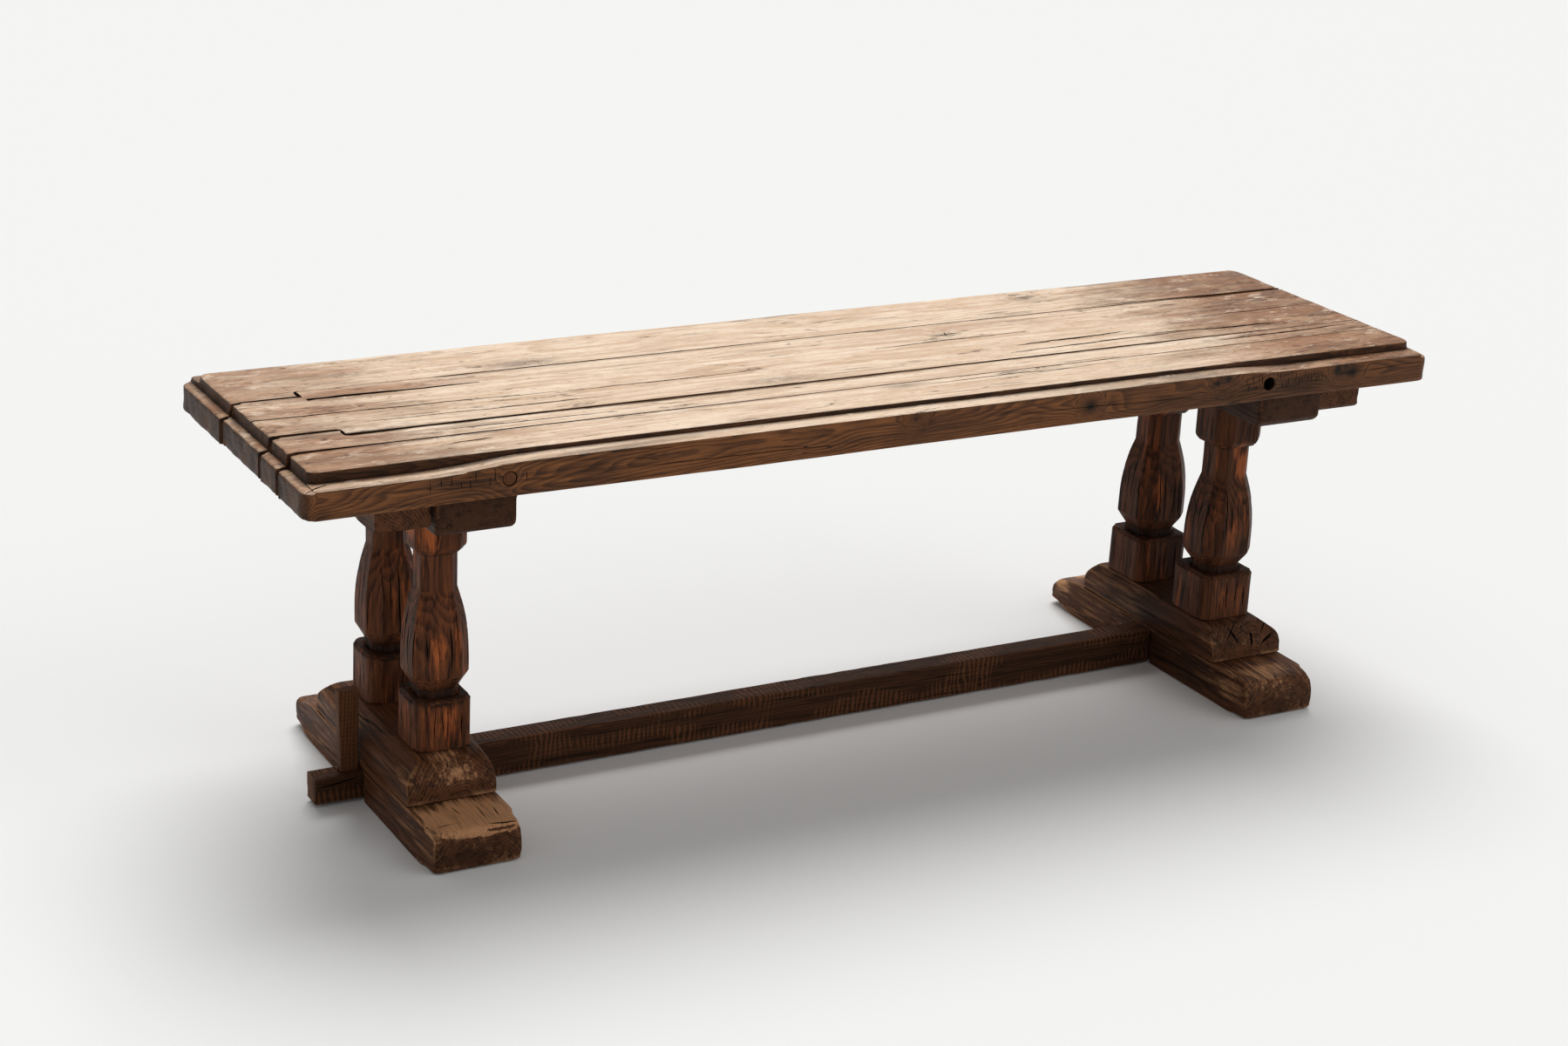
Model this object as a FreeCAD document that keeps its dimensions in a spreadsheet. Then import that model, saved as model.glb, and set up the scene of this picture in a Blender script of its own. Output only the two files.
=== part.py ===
"""Refectory table: four thick planks on two baluster trestles, joined by a wedged stretcher.

Millimetres, +Z up, +X along the table, origin on the floor under the middle of the top.
"""
import FreeCAD, Part
import os
import re
import Sketcher
from FreeCAD import Placement, Rotation, Vector

# Driving dimensions, one spreadsheet cell each
SIZES = {
    # Table top
    "table_height": 760,
    "top_length": 2410,
    "top_width": 680,
    "top_thickness": 78,
    "top_corner_radius": 26,
    "upper_corner_radius": 22,
    "end_ledge": 22,
    "side_ledge": 38,
    "end_rebate": 24,
    "front_rebate_left": 22,
    "front_rebate_middle": 10,
    "front_rebate_right": 17,
    "back_rebate": 14,
    # Joints between the planks, measured from the middle line
    "plank_gap": 3,
    "front_joint": 200,
    "narrow_joint": 134,
    "back_joint": 130,
    "shoulder_length": 153,
    "narrow_shoulder": 29,
    "back_shoulder": 30,
    # Dowels across the planks
    "left_dowel_from_end": 372,
    "right_dowel_from_end": 413,
    "dowel_diameter": 25,
    "dowel_drop": 41,
    "dowel_setback": 45,
    # Bearers, cleats and nails under the top
    "bearer_length": 620,
    "bearer_width": 155,
    "bearer_thickness": 68,
    "bearer_chamfer": 11,
    "cleat_length": 592,
    "cleat_width": 106,
    "cleat_thickness": 52,
    "cleat_chamfer": 6,
    "cleat_play": 0.8,
    "nail_shank": 6,
    "nail_head": 14,
    "nail_head_height": 4,
    "nail_point": 12,
    "nail_length": 84,
    # Feet
    "end_overhang": 314,
    "foot_length": 740,
    "foot_width": 185,
    "lower_foot_height": 80,
    "left_nose_radius": 16,
    "right_nose_radius": 36,
    "sole_radius": 8,
    "upper_foot_height": 70,
    "upper_foot_length": 492,
    "nose_height": 24,
    "nose_run": 62,
    "slope_drop": 24,
    "outer_slope_run": 38,
    "inner_slope_run": 13,
    "quirk": 3,
    # Posts
    "post_spacing": 236,
    "post_inset": 12,
    "left_plinth_width": 116,
    "right_plinth_width": 132,
    "plinth_corner_radius": 26,
    "plinth_height": 98,
    "plinth_rim": 7,
    "left_groove_width": 82,
    "right_groove_width": 94,
    "groove_height": 13,
    "flare_height": 28,
    "left_belly_width": 114,
    "right_belly_width": 130,
    "left_neck_width": 75,
    "right_neck_width": 88,
    "neck_height": 70,
    "left_capital_width": 106,
    "right_capital_width": 124,
    "capital_height": 91,
    "capital_round": 16,
    "post_tenon_width": 50,
    "upper_tenon_length": 46,
    "lower_tenon_depth": 40,
    # Stretcher and tusk wedges
    "stretcher_width": 55,
    "stretcher_height": 74,
    "stretcher_lift": 4,
    "through_tenon_width": 46,
    "through_tenon_height": 53,
    "through_tenon_lift": 7,
    "tenon_projection": 92,
    "wedge_length": 217,
    "wedge_width": 41,
    "wedge_taper": 6,
    "wedge_thickness": 20,
    "wedge_lift": 5,
    # Clearances and the overrun of every cut
    "joint_play": 0.25,
    "mortise_play": 2,
    "overrun": 5,
}

# Shares of the half length where the worn front rebate changes depth
WAVE_SHARES = {"left_start": 0.83, "left_end": 0.64, "right_start": 0.55, "right_end": 0.74}
# How high the post's belly stays full, as a share of the vase's height
BELLY_SHARE = 0.2
# How far a post's corner faces stand out beside its flat faces
CORNER_SHARE = 1.09
# How far out a cut round a post reaches, as a share of its plinth
REACH_SHARE = 1.5
# The middle of a quarter round, as a share of its radius from the corner
ROUND_SHARE = 0.2929

doc = FreeCAD.newDocument("RefectoryTable")
sheet = doc.addObject("Spreadsheet::Sheet", "Sizes")
for row, (alias, size) in enumerate(SIZES.items(), start=1):
    sheet.set(f"A{row}", alias)
    sheet.set(f"B{row}", str(size))
    sheet.setAlias(f"B{row}", alias)
doc.recompute()

subparts = []


def cells(text):
    """Turn plain size names into references to the spreadsheet's cells."""
    return re.sub(r"[a-z_]+", lambda word: f"Sizes.{word[0]}" if word[0] in SIZES else word[0], text)


def value(text):
    """Work out an expression of size names."""
    return float(sheet.evalExpression(cells(text)))


def bind(target, path, text):
    target.setExpression(path, cells(text))


def new_body(name, x="0", y="0", z="0"):
    """An empty body of the given name, placed by expressions; it becomes one sub-part."""
    body = doc.addObject("PartDesign::Body", name)
    body.Label = name
    for axis, text in zip("xyz", (x, y, z)):
        bind(body, f"Placement.Base.{axis}", text)
    subparts.append(body)
    return body


def new_sketch(body, role, offset="0", turn=0):
    """An empty sketch on an origin plane of the body, moved along its normal and turned."""
    sketch = body.newObject("Sketcher::SketchObject", "Outline")
    plane = next(feature for feature in body.Origin.OriginFeatures if feature.Role == role)
    sketch.AttachmentSupport = [(plane, "")]
    sketch.MapMode = "FlatFace"
    sketch.AttachmentOffset = Placement(Vector(), Rotation(Vector(0, 1, 0), turn))
    bind(sketch, "AttachmentOffset.Base.z", offset)
    return sketch


def fix_point(sketch, geometry, point, texts):
    """Tie one point of a sketch to two expressions, measured from the sketch's origin."""
    for kind, text in zip(("DistanceX", "DistanceY"), texts):
        rule = Sketcher.Constraint(kind, -1, 1, geometry, point, value(text))
        bind(sketch, f"Constraints[{sketch.addConstraint(rule)}]", text)


def add_outline(sketch, points):
    """A closed outline. A point is (x, y), or (x, y, middle x, middle y) where an arc leads to it."""
    first = sketch.GeometryCount
    count = len(points)
    for place, point in enumerate(points):
        start = Vector(*[value(text) for text in points[place - 1][:2]])
        end = Vector(*[value(text) for text in point[:2]])
        if len(point) == 4:
            middle = Vector(*[value(text) for text in point[2:]])
            sketch.addGeometry(Part.Arc(start, middle, end), False)
        else:
            sketch.addGeometry(Part.LineSegment(start, end), False)
    for place, point in enumerate(points):
        edge = first + place
        following = first + (place + 1) % count
        end = edge_ends(sketch, edge, point)[1]
        begin = edge_ends(sketch, following, points[(place + 1) % count])[0]
        sketch.addConstraint(Sketcher.Constraint("Coincident", edge, end, following, begin))
        fix_point(sketch, edge, end, point[:2])
    for place, point in enumerate(points):
        if len(point) == 4:
            mark = sketch.addGeometry(Part.Point(Vector(*[value(text) for text in point[2:]])), True)
            fix_point(sketch, mark, 1, point[2:])
            sketch.addConstraint(Sketcher.Constraint("PointOnObject", mark, 1, first + place))


def edge_ends(sketch, edge, point):
    """The numbers of an edge's ends in the outline's order; an arc always runs anticlockwise."""
    target = Vector(*[value(text) for text in point[:2]])
    return sorted((1, 2), key=lambda end: -sketch.getPoint(edge, end).distanceToPoint(target))


def add_circle(sketch, x, y, diameter):
    """A circle whose centre and diameter follow expressions."""
    centre = Vector(value(x), value(y))
    circle = sketch.addGeometry(Part.Circle(centre, Vector(0, 0, 1), value(diameter) / 2), False)
    fix_point(sketch, circle, 3, (x, y))
    rule = Sketcher.Constraint("Diameter", circle, value(diameter))
    bind(sketch, f"Constraints[{sketch.addConstraint(rule)}]", diameter)


def rectangle(left, low, right, high):
    return [(left, low), (right, low), (right, high), (left, high)]


def pad(body, sketch, length, symmetric=False):
    """Raise a sketch along its normal, or to both sides of its plane."""
    feature = body.newObject("PartDesign::Pad", "Pad")
    feature.Profile = sketch
    feature.SideType = "Symmetric" if symmetric else "One side"
    bind(feature, "Length", length)
    doc.recompute()
    return feature


def pocket(body, sketch, depth=None, forwards=False, both=False):
    """Cut a sketch out of the body, to a depth or right through, and make sure that it removed something."""
    before = body.Shape.Volume
    feature = body.newObject("PartDesign::Pocket", "Pocket")
    feature.Profile = sketch
    feature.Reversed = forwards
    feature.SideType = "Symmetric" if both else "One side"
    if depth is None:
        feature.Type = "ThroughAll"
    else:
        bind(feature, "Length", depth)
    doc.recompute()
    if not body.Shape.Volume < before:
        raise RuntimeError(f"{body.Label}: a cut removed nothing")
    return feature


def repeat_round(body, feature, count):
    """Repeat a feature evenly round the body's upright axis."""
    pattern = body.newObject("PartDesign::PolarPattern", "Pattern")
    pattern.Originals = [feature]
    axis = next(part for part in body.Origin.OriginFeatures if part.Role == "Z_Axis")
    pattern.Axis = (axis, [""])
    pattern.Angle = 360
    pattern.Occurrences = count
    body.Tip = pattern
    doc.recompute()


def round_upright_edges(body, places, radius):
    """Fillet the upright edges of a body that stand at the given places of its plan."""
    base = body.Tip
    spots = [Vector(value(x), value(y)) for x, y in places]
    names = []
    for number, edge in enumerate(base.Shape.Edges, start=1):
        ends = [vertex.Point for vertex in edge.Vertexes]
        flat = [Vector(point.x, point.y) for point in ends]
        if len(flat) == 2 and flat[0].isEqual(flat[1], value("joint_play")):
            if any(flat[0].isEqual(spot, value("joint_play")) for spot in spots):
                names.append(f"Edge{number}")
    if len(names) < len(places):
        raise RuntimeError(f"{body.Label}: an edge to round is missing")
    feature = body.newObject("PartDesign::Fillet", "Rounding")
    feature.Base = (base, names)
    bind(feature, "Radius", radius)
    body.Tip = feature
    doc.recompute()


# Names for places that several pieces share
HALF_LENGTH = "top_length / 2"
HALF_WIDTH = "top_width / 2"
TOP_UNDERSIDE = "(table_height - top_thickness)"
BEARER_UNDERSIDE = "(table_height - top_thickness - bearer_thickness)"
FOOT_TOP = "(lower_foot_height + upper_foot_height)"
SHOULDER_X = "-(top_length / 2 - shoulder_length)"
HALF_GAP = "plank_gap / 2"
FOOT_X = "(top_length / 2 - end_overhang)"
POST_X = f"({FOOT_X} - post_inset)"
CLEAT_X = f"({POST_X} + bearer_width / 2 + cleat_play + cleat_width / 2)"
LEFT_DOWEL_X = "-(top_length / 2 - left_dowel_from_end)"
RIGHT_DOWEL_X = "(top_length / 2 - right_dowel_from_end)"
DOWEL_Z = "table_height - dowel_drop"


def cut_top_ends(body):
    """The rebate across both ends of a plank."""
    sketch = new_sketch(body, "XZ_Plane")
    for side in ("-", ""):
        inner = f"{side}({HALF_LENGTH} - end_ledge)"
        outer = f"{side}({HALF_LENGTH} + overrun)"
        left, right = (outer, inner) if side else (inner, outer)
        add_outline(sketch, rectangle(left, "table_height - end_rebate", right, "table_height + overrun"))
    pocket(body, sketch, both=True)


def cut_front_rebate(body):
    """The worn rebate along the front edge: deep at the ends and shallow between, with smooth changes."""
    x = {}
    for name, share in WAVE_SHARES.items():
        x[name] = f"{'-' if 'left' in name else ''}{share} * {HALF_LENGTH}"
    left = "table_height - front_rebate_left"
    middle = "table_height - front_rebate_middle"
    right = "table_height - front_rebate_right"
    points = [(f"-({HALF_LENGTH} + overrun)", left), (x["left_start"], left)]
    points += smooth_change(x["left_start"], left, x["left_end"], middle)
    points += [(x["right_start"], middle)]
    points += smooth_change(x["right_start"], middle, x["right_end"], right)
    points += [(f"{HALF_LENGTH} + overrun", right), (f"{HALF_LENGTH} + overrun", "table_height + overrun")]
    points += [(f"-({HALF_LENGTH} + overrun)", "table_height + overrun")]
    sketch = new_sketch(body, "XZ_Plane", f"{HALF_WIDTH} - side_ledge")
    add_outline(sketch, points)
    pocket(body, sketch, forwards=True)


def arc_middle(run, rise):
    """The middle of an arc that starts straight along its run: how far along it lies, and how far across."""
    chord = f"sqrt(({run}) ^ 2 + ({rise}) ^ 2)"
    return f"{chord} / 2", f"{chord} * ({chord} - ({run})) / (2 * ({rise}))"


def smooth_change(x_start, z_start, x_end, z_end):
    """Two shallow arcs that lead from one level to another."""
    x_step = f"(({x_end}) - ({x_start}))"
    z_step = f"(({z_end}) - ({z_start}))"
    half = (f"{x_start} + {x_step} / 2", f"{z_start} + {z_step} / 2")
    along, across = arc_middle(f"{x_step} / 2", f"{z_step} / 2")
    first = (f"{x_start} + {along}", f"{z_start} + {across}")
    second = (f"{x_end} - {along}", f"{z_end} - ({across})")
    return [half + first, (x_end, z_end) + second]


def bore_plank(body, nail_y):
    """The two dowel bores across a plank, and a nail hole from below at each cleat."""
    sketch = new_sketch(body, "XZ_Plane")
    for x in (LEFT_DOWEL_X, RIGHT_DOWEL_X):
        add_circle(sketch, x, DOWEL_Z, "dowel_diameter + 2 * joint_play")
    pocket(body, sketch, both=True)
    sketch = new_sketch(body, "XY_Plane", TOP_UNDERSIDE)
    for side in ("-", ""):
        add_circle(sketch, f"{side}{CLEAT_X}", nail_y, "nail_shank + 2 * joint_play")
    pocket(body, sketch, "nail_length - cleat_thickness + mortise_play", forwards=True)


def plank(name, outline, nail_y):
    """One plank from its plan, rebated at both ends and bored."""
    body = new_body(name)
    sketch = new_sketch(body, "XY_Plane", TOP_UNDERSIDE)
    add_outline(sketch, outline)
    pad(body, sketch, "top_thickness")
    cut_top_ends(body)
    bore_plank(body, nail_y)
    return body


NAIL_PLACES = {
    "back_plank": "(back_joint + cleat_length / 2) / 2",
    "middle_plank": "(back_joint - narrow_joint) / 2",
    "narrow_plank": "-(narrow_joint + front_joint) / 2",
    "front_plank": "-(front_joint + cleat_length / 2) / 2",
}


def rounded_corner(x_side, y_side, half_x, half_y, radius):
    """The two ends of a rounded corner of a rectangular plan, and the middle of its arc."""
    along_x = (f"{x_side}({half_x} - {radius})", f"{y_side}{half_y}")
    along_y = (f"{x_side}{half_x}", f"{y_side}({half_y} - {radius})")
    inset = f"{ROUND_SHARE} * {radius}"
    middle = (f"{x_side}({half_x} - {inset})", f"{y_side}({half_y} - {inset})")
    return along_x, along_y, middle


def top_corner(x_side, y_side):
    return rounded_corner(x_side, y_side, HALF_LENGTH, HALF_WIDTH, "top_corner_radius")


def upper_corners(y_side):
    """Where the upper tier of the top has its two corners on one side."""
    y = f"{y_side}({HALF_WIDTH} - side_ledge)"
    return [(f"{side}({HALF_LENGTH} - end_ledge)", y) for side in ("-", "")]


def make_front_plank():
    left_flat, left_edge, left_middle = top_corner("-", "-")
    right_flat, right_edge, right_middle = top_corner("", "-")
    inner = f"-(front_joint + {HALF_GAP})"
    outline = [left_edge, left_flat + left_middle, right_flat, right_edge + right_middle]
    outline += [(HALF_LENGTH, inner), (f"-{HALF_LENGTH}", inner)]
    body = plank("front_plank", outline, NAIL_PLACES["front_plank"])
    cut_front_rebate(body)
    round_upright_edges(body, upper_corners("-"), "upper_corner_radius")


def make_narrow_plank():
    front = f"-(front_joint - {HALF_GAP})"
    back = f"-(narrow_joint + {HALF_GAP})"
    shoulder = f"-(narrow_joint - narrow_shoulder + {HALF_GAP})"
    shoulder_x = f"{SHOULDER_X} - {HALF_GAP}"
    outline = [(f"-{HALF_LENGTH}", front), (HALF_LENGTH, front), (HALF_LENGTH, back), (shoulder_x, back)]
    outline += [(shoulder_x, shoulder), (f"-{HALF_LENGTH}", shoulder)]
    plank("narrow_plank", outline, NAIL_PLACES["narrow_plank"])


def make_middle_plank():
    front = f"-(narrow_joint - {HALF_GAP})"
    back = f"back_joint - {HALF_GAP}"
    front_end = f"-(narrow_joint - narrow_shoulder - {HALF_GAP})"
    back_end = f"back_joint - back_shoulder - {HALF_GAP}"
    shoulder_x = f"{SHOULDER_X} + {HALF_GAP}"
    outline = [(f"-{HALF_LENGTH}", front_end), (shoulder_x, front_end), (shoulder_x, front)]
    outline += [(HALF_LENGTH, front), (HALF_LENGTH, back), (shoulder_x, back), (shoulder_x, back_end)]
    outline += [(f"-{HALF_LENGTH}", back_end)]
    plank("middle_plank", outline, NAIL_PLACES["middle_plank"])


def make_back_plank():
    left_flat, left_edge, left_middle = top_corner("-", "")
    right_flat, right_edge, right_middle = top_corner("", "")
    inner = f"back_joint + {HALF_GAP}"
    end = f"back_joint - back_shoulder + {HALF_GAP}"
    shoulder_x = f"{SHOULDER_X} - {HALF_GAP}"
    outline = [(f"-{HALF_LENGTH}", end), (shoulder_x, end), (shoulder_x, inner), (HALF_LENGTH, inner)]
    outline += [right_edge, right_flat + right_middle, left_flat, left_edge + left_middle]
    body = plank("back_plank", outline, NAIL_PLACES["back_plank"])
    sketch = new_sketch(body, "XZ_Plane", f"-({HALF_WIDTH} - side_ledge)")
    far = f"{HALF_LENGTH} + overrun"
    add_outline(sketch, rectangle(f"-({far})", "table_height - back_rebate", far, "table_height + overrun"))
    pocket(body, sketch)
    round_upright_edges(body, upper_corners(""), "upper_corner_radius")


def make_dowel(name, x, front_setback):
    """A round dowel across the planks, flush at the back and set in from the front by the given amount."""
    dowel = doc.addObject("Part::Cylinder", name)
    dowel.Label = name
    bind(dowel, "Radius", "dowel_diameter / 2")
    bind(dowel, "Height", f"top_width - ({front_setback})")
    dowel.Placement = Placement(Vector(), Rotation(Vector(1, 0, 0), 90))
    bind(dowel, "Placement.Base.x", x)
    bind(dowel, "Placement.Base.y", HALF_WIDTH)
    bind(dowel, "Placement.Base.z", DOWEL_Z)
    subparts.append(dowel)


def make_bearer(name, side):
    """A trestle's top rail, with its lower end edges chamfered and a mortise over each post."""
    body = new_body(name, x=f"{side}{POST_X}")
    half = "bearer_length / 2"
    low = BEARER_UNDERSIDE
    outline = [(f"-{half}", f"{low} + bearer_chamfer"), (f"-({half} - bearer_chamfer)", low)]
    outline += [(f"{half} - bearer_chamfer", low), (half, f"{low} + bearer_chamfer")]
    outline += [(half, TOP_UNDERSIDE), (f"-{half}", TOP_UNDERSIDE)]
    sketch = new_sketch(body, "YZ_Plane")
    add_outline(sketch, outline)
    pad(body, sketch, "bearer_width", symmetric=True)
    sketch = new_sketch(body, "XY_Plane", low)
    add_mortises(sketch, "0")
    pocket(body, sketch, "upper_tenon_length + mortise_play", forwards=True)


def add_mortises(sketch, x):
    """The two square mortises of a trestle, over its posts."""
    reach = "(post_tenon_width / 2 + joint_play)"
    for side in ("-", ""):
        y = f"{side}post_spacing / 2"
        low, high = f"{y} - {reach}", f"{y} + {reach}"
        add_outline(sketch, rectangle(f"{x} - {reach}", low, f"{x} + {reach}", high))


def make_cleat(name, side):
    """A batten under the planks beside the bearer, with its lower end edges chamfered and nail holes."""
    body = new_body(name, x=f"{side}{CLEAT_X}")
    half = "cleat_length / 2"
    low = f"({TOP_UNDERSIDE} - cleat_thickness)"
    outline = [(f"-{half}", f"{low} + cleat_chamfer"), (f"-({half} - cleat_chamfer)", low)]
    outline += [(f"{half} - cleat_chamfer", low), (half, f"{low} + cleat_chamfer")]
    outline += [(half, TOP_UNDERSIDE), (f"-{half}", TOP_UNDERSIDE)]
    sketch = new_sketch(body, "YZ_Plane")
    add_outline(sketch, outline)
    pad(body, sketch, "cleat_width", symmetric=True)
    sketch = new_sketch(body, "XY_Plane")
    for nail_y in NAIL_PLACES.values():
        add_circle(sketch, "0", nail_y, "nail_shank + 2 * joint_play")
    pocket(body, sketch, forwards=True)


def make_nails():
    """The cleats' nails as one group: a domed head, a round shank and a point, driven from below."""
    nail = doc.addObject("PartDesign::Body", "Nail")
    sketch = new_sketch(nail, "XZ_Plane")
    head = "nail_head / 2"
    shank = "nail_shank / 2"
    along, across = arc_middle(head, "nail_head_height")
    outline = [("0", "-nail_head_height"), (head, "0", along, f"{across} - nail_head_height")]
    outline += [(shank, "0"), (shank, "nail_length - nail_point"), ("0", "nail_length")]
    add_outline(sketch, outline)
    turned = nail.newObject("PartDesign::Revolution", "Turned")
    turned.Profile = sketch
    turned.ReferenceAxis = (sketch, ["V_Axis"])
    turned.Angle = 360
    doc.recompute()
    cleat_low = value(f"{TOP_UNDERSIDE} - cleat_thickness")
    group = []
    for side in ("-", ""):
        for nail_y in NAIL_PLACES.values():
            place = Vector(value(f"{side}{CLEAT_X}"), value(nail_y), cleat_low)
            copy = nail.Shape.copy()
            copy.Placement = Placement(place, Rotation())
            group.append(copy)
    nails = doc.addObject("Part::Feature", "cleat_nails")
    nails.Label = "cleat_nails"
    nails.Shape = Part.makeCompound(group)
    subparts.append(nails)


def make_lower_foot(name, side, nose_radius):
    """The long timber on the floor: rounded ends, a notch for the stretcher's tenon, and mortises."""
    body = new_body(name, x=f"{side}{FOOT_X}")
    half = "foot_length / 2"
    top = "lower_foot_height"
    nose = f"{ROUND_SHARE} * {nose_radius}"
    sole = f"{ROUND_SHARE} * sole_radius"
    outline = [(f"-({half} - sole_radius)", "0"), (f"{half} - sole_radius", "0")]
    outline += [(half, "sole_radius", f"{half} - {sole}", sole), (half, f"{top} - {nose_radius}")]
    outline += [(f"{half} - {nose_radius}", top, f"{half} - {nose}", f"{top} - {nose}")]
    outline += [(f"-({half} - {nose_radius})", top)]
    outline += [(f"-{half}", f"{top} - {nose_radius}", f"-({half} - {nose})", f"{top} - {nose}")]
    outline += [(f"-{half}", "sole_radius")]
    outline[0] += (f"-({half} - {sole})", sole)
    sketch = new_sketch(body, "YZ_Plane")
    add_outline(sketch, outline)
    pad(body, sketch, "foot_width", symmetric=True)
    sketch = new_sketch(body, "YZ_Plane")
    reach = "through_tenon_width / 2 + joint_play"
    notch_top = "through_tenon_lift + through_tenon_height + joint_play"
    add_outline(sketch, rectangle(f"-({reach})", "-overrun", reach, notch_top))
    pocket(body, sketch, both=True)
    sketch = new_sketch(body, "XY_Plane", top)
    add_mortises(sketch, f"{inward(side)}post_inset")
    pocket(body, sketch, "lower_tenon_depth + mortise_play")


def inward(side):
    """The sign that points from a trestle to the middle of the table."""
    return "" if side else "-"


def make_upper_foot(name, side):
    """The bolster on the lower foot: long rounded noses, sloped sides with a quirk, and through mortises."""
    body = new_body(name, x=f"{side}{FOOT_X}")
    half = "upper_foot_length / 2"
    low = "lower_foot_height"
    nose_top = f"({low} + nose_height)"
    flat = f"({half} - nose_run)"
    along, across = arc_middle("nose_run", f"({FOOT_TOP} - {nose_top})")
    nose_y = f"({flat} + {along})"
    nose_z = f"({FOOT_TOP} - {across})"
    outline = [(f"-{half}", low), (half, low), (half, nose_top), (flat, FOOT_TOP, nose_y, nose_z)]
    outline += [(f"-{flat}", FOOT_TOP), (f"-{half}", nose_top, f"-{nose_y}", nose_z)]
    sketch = new_sketch(body, "YZ_Plane")
    add_outline(sketch, outline)
    pad(body, sketch, "foot_width", symmetric=True)
    sketch = new_sketch(body, "XZ_Plane")
    for sign, run in ((inward(side), "inner_slope_run"), (side, "outer_slope_run")):
        add_outline(sketch, slope_outline(sign, run))
    pocket(body, sketch, both=True)
    sketch = new_sketch(body, "XY_Plane", FOOT_TOP)
    add_mortises(sketch, f"{inward(side)}post_inset")
    pocket(body, sketch)


def slope_outline(sign, run):
    """What is cut off one long edge of the upper foot: the slope, and the quirk along the arris."""
    edge = "foot_width / 2"
    arris = f"{FOOT_TOP} - slope_drop"
    corners = [(f"{edge} - {run}", FOOT_TOP), (f"{edge} - quirk", f"{arris} + quirk")]
    corners += [(f"{edge} - quirk", f"{arris} - quirk"), (f"{edge} + overrun", f"{arris} - quirk")]
    corners += [(f"{edge} + overrun", f"{FOOT_TOP} + overrun"), (f"{edge} - {run}", f"{FOOT_TOP} + overrun")]
    return [(f"{sign}({x})", z) for x, z in corners]


def make_post(name, x_side, y_side, tag):
    """A hewn baluster: a rounded square cut back on its four faces and four corners, with two tenons."""
    body = new_body(name, x=f"{x_side}{POST_X}", y=f"{y_side}post_spacing / 2")
    half = f"{tag}_plinth_width / 2"
    diagonal = f"(({half} - plinth_corner_radius) * sqrt(2) + plinth_corner_radius)"
    plan = []
    for sign_x, sign_y in (("", "-"), ("", ""), ("-", ""), ("-", "-")):
        along_x, along_y, middle = rounded_corner(sign_x, sign_y, half, half, "plinth_corner_radius")
        start, end = (along_y, along_x) if sign_x == sign_y else (along_x, along_y)
        plan += [start, end + middle]
    sketch = new_sketch(body, "XY_Plane", FOOT_TOP)
    add_outline(sketch, plan)
    pad(body, sketch, f"{BEARER_UNDERSIDE} - {FOOT_TOP}")
    for turn, share, plinth in ((0, 1, half), (45, CORNER_SHARE, diagonal)):
        sketch = new_sketch(body, "XZ_Plane", turn=turn)
        add_outline(sketch, baluster_outline(tag, share, plinth))
        cut = pocket(body, sketch, both=True)
        repeat_round(body, cut, 4)
    reach = "post_tenon_width / 2"
    for low, length in ((BEARER_UNDERSIDE, "upper_tenon_length"),
                        ("lower_foot_height - lower_tenon_depth", "upper_foot_height + lower_tenon_depth")):
        sketch = new_sketch(body, "XY_Plane", low)
        add_outline(sketch, rectangle(f"-{reach}", f"-{reach}", reach, reach))
        pad(body, sketch, length)


def baluster_outline(tag, share, plinth):
    """What is cut off one side of a post above its plinth, read upwards from the plinth's rim."""
    groove, belly, neck, capital = (
        f"{share} * {tag}_{part}_width / 2" for part in ("groove", "belly", "neck", "capital"))
    rim = f"({FOOT_TOP} + plinth_height)"
    flare = f"({rim} + groove_height)"
    belly_low = f"({flare} + flare_height)"
    neck_top = f"({BEARER_UNDERSIDE} - capital_height)"
    neck_low = f"({neck_top} - neck_height)"
    belly_top = f"({belly_low} + {BELLY_SHARE} * ({neck_low} - {belly_low}))"
    along, across = arc_middle(f"({neck_low} - {belly_top})", f"({belly} - {neck})")
    belly_middle = (f"{belly} - {across}", f"{belly_top} + {along}")
    far = f"{plinth} * {REACH_SHARE}"
    along, across = arc_middle("capital_round", f"({capital} - {neck})")
    round_middle = (f"{capital} - {across}", f"{neck_top} + capital_round - {along}")
    points = [(far, f"{rim} - plinth_rim"), (plinth, f"{rim} - plinth_rim"), (f"{plinth} - plinth_rim", rim)]
    points += [(groove, rim), (groove, flare), (belly, belly_low), (belly, belly_top)]
    points += [(neck, neck_low) + belly_middle, (neck, neck_top)]
    points += [(capital, f"{neck_top} + capital_round") + round_middle]
    points += [(capital, f"{BEARER_UNDERSIDE} + overrun"), (far, f"{BEARER_UNDERSIDE} + overrun")]
    return points


def make_stretcher():
    """The long rail with a through-tenon at each end, slotted for the wedges."""
    body = new_body("stretcher")
    shoulder = f"({FOOT_X} - foot_width / 2)"
    tenon = f"({FOOT_X} + foot_width / 2 + tenon_projection)"
    for half_width, low, height, length in (
            ("stretcher_width / 2", "stretcher_lift", "stretcher_height", f"2 * {shoulder}"),
            ("through_tenon_width / 2", "through_tenon_lift", "through_tenon_height", f"2 * {tenon}")):
        sketch = new_sketch(body, "YZ_Plane")
        add_outline(sketch, rectangle(f"-{half_width}", low, half_width, f"{low} + {height}"))
        pad(body, sketch, length, symmetric=True)
    sketch = new_sketch(body, "XZ_Plane")
    for sign in ("-", ""):
        height = "(through_tenon_lift + through_tenon_height + 2 * overrun)"
        add_outline(sketch, wedge_outline(sign, "-overrun", height, "joint_play"))
    pocket(body, sketch, "wedge_thickness + 2 * joint_play", both=True)


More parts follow.
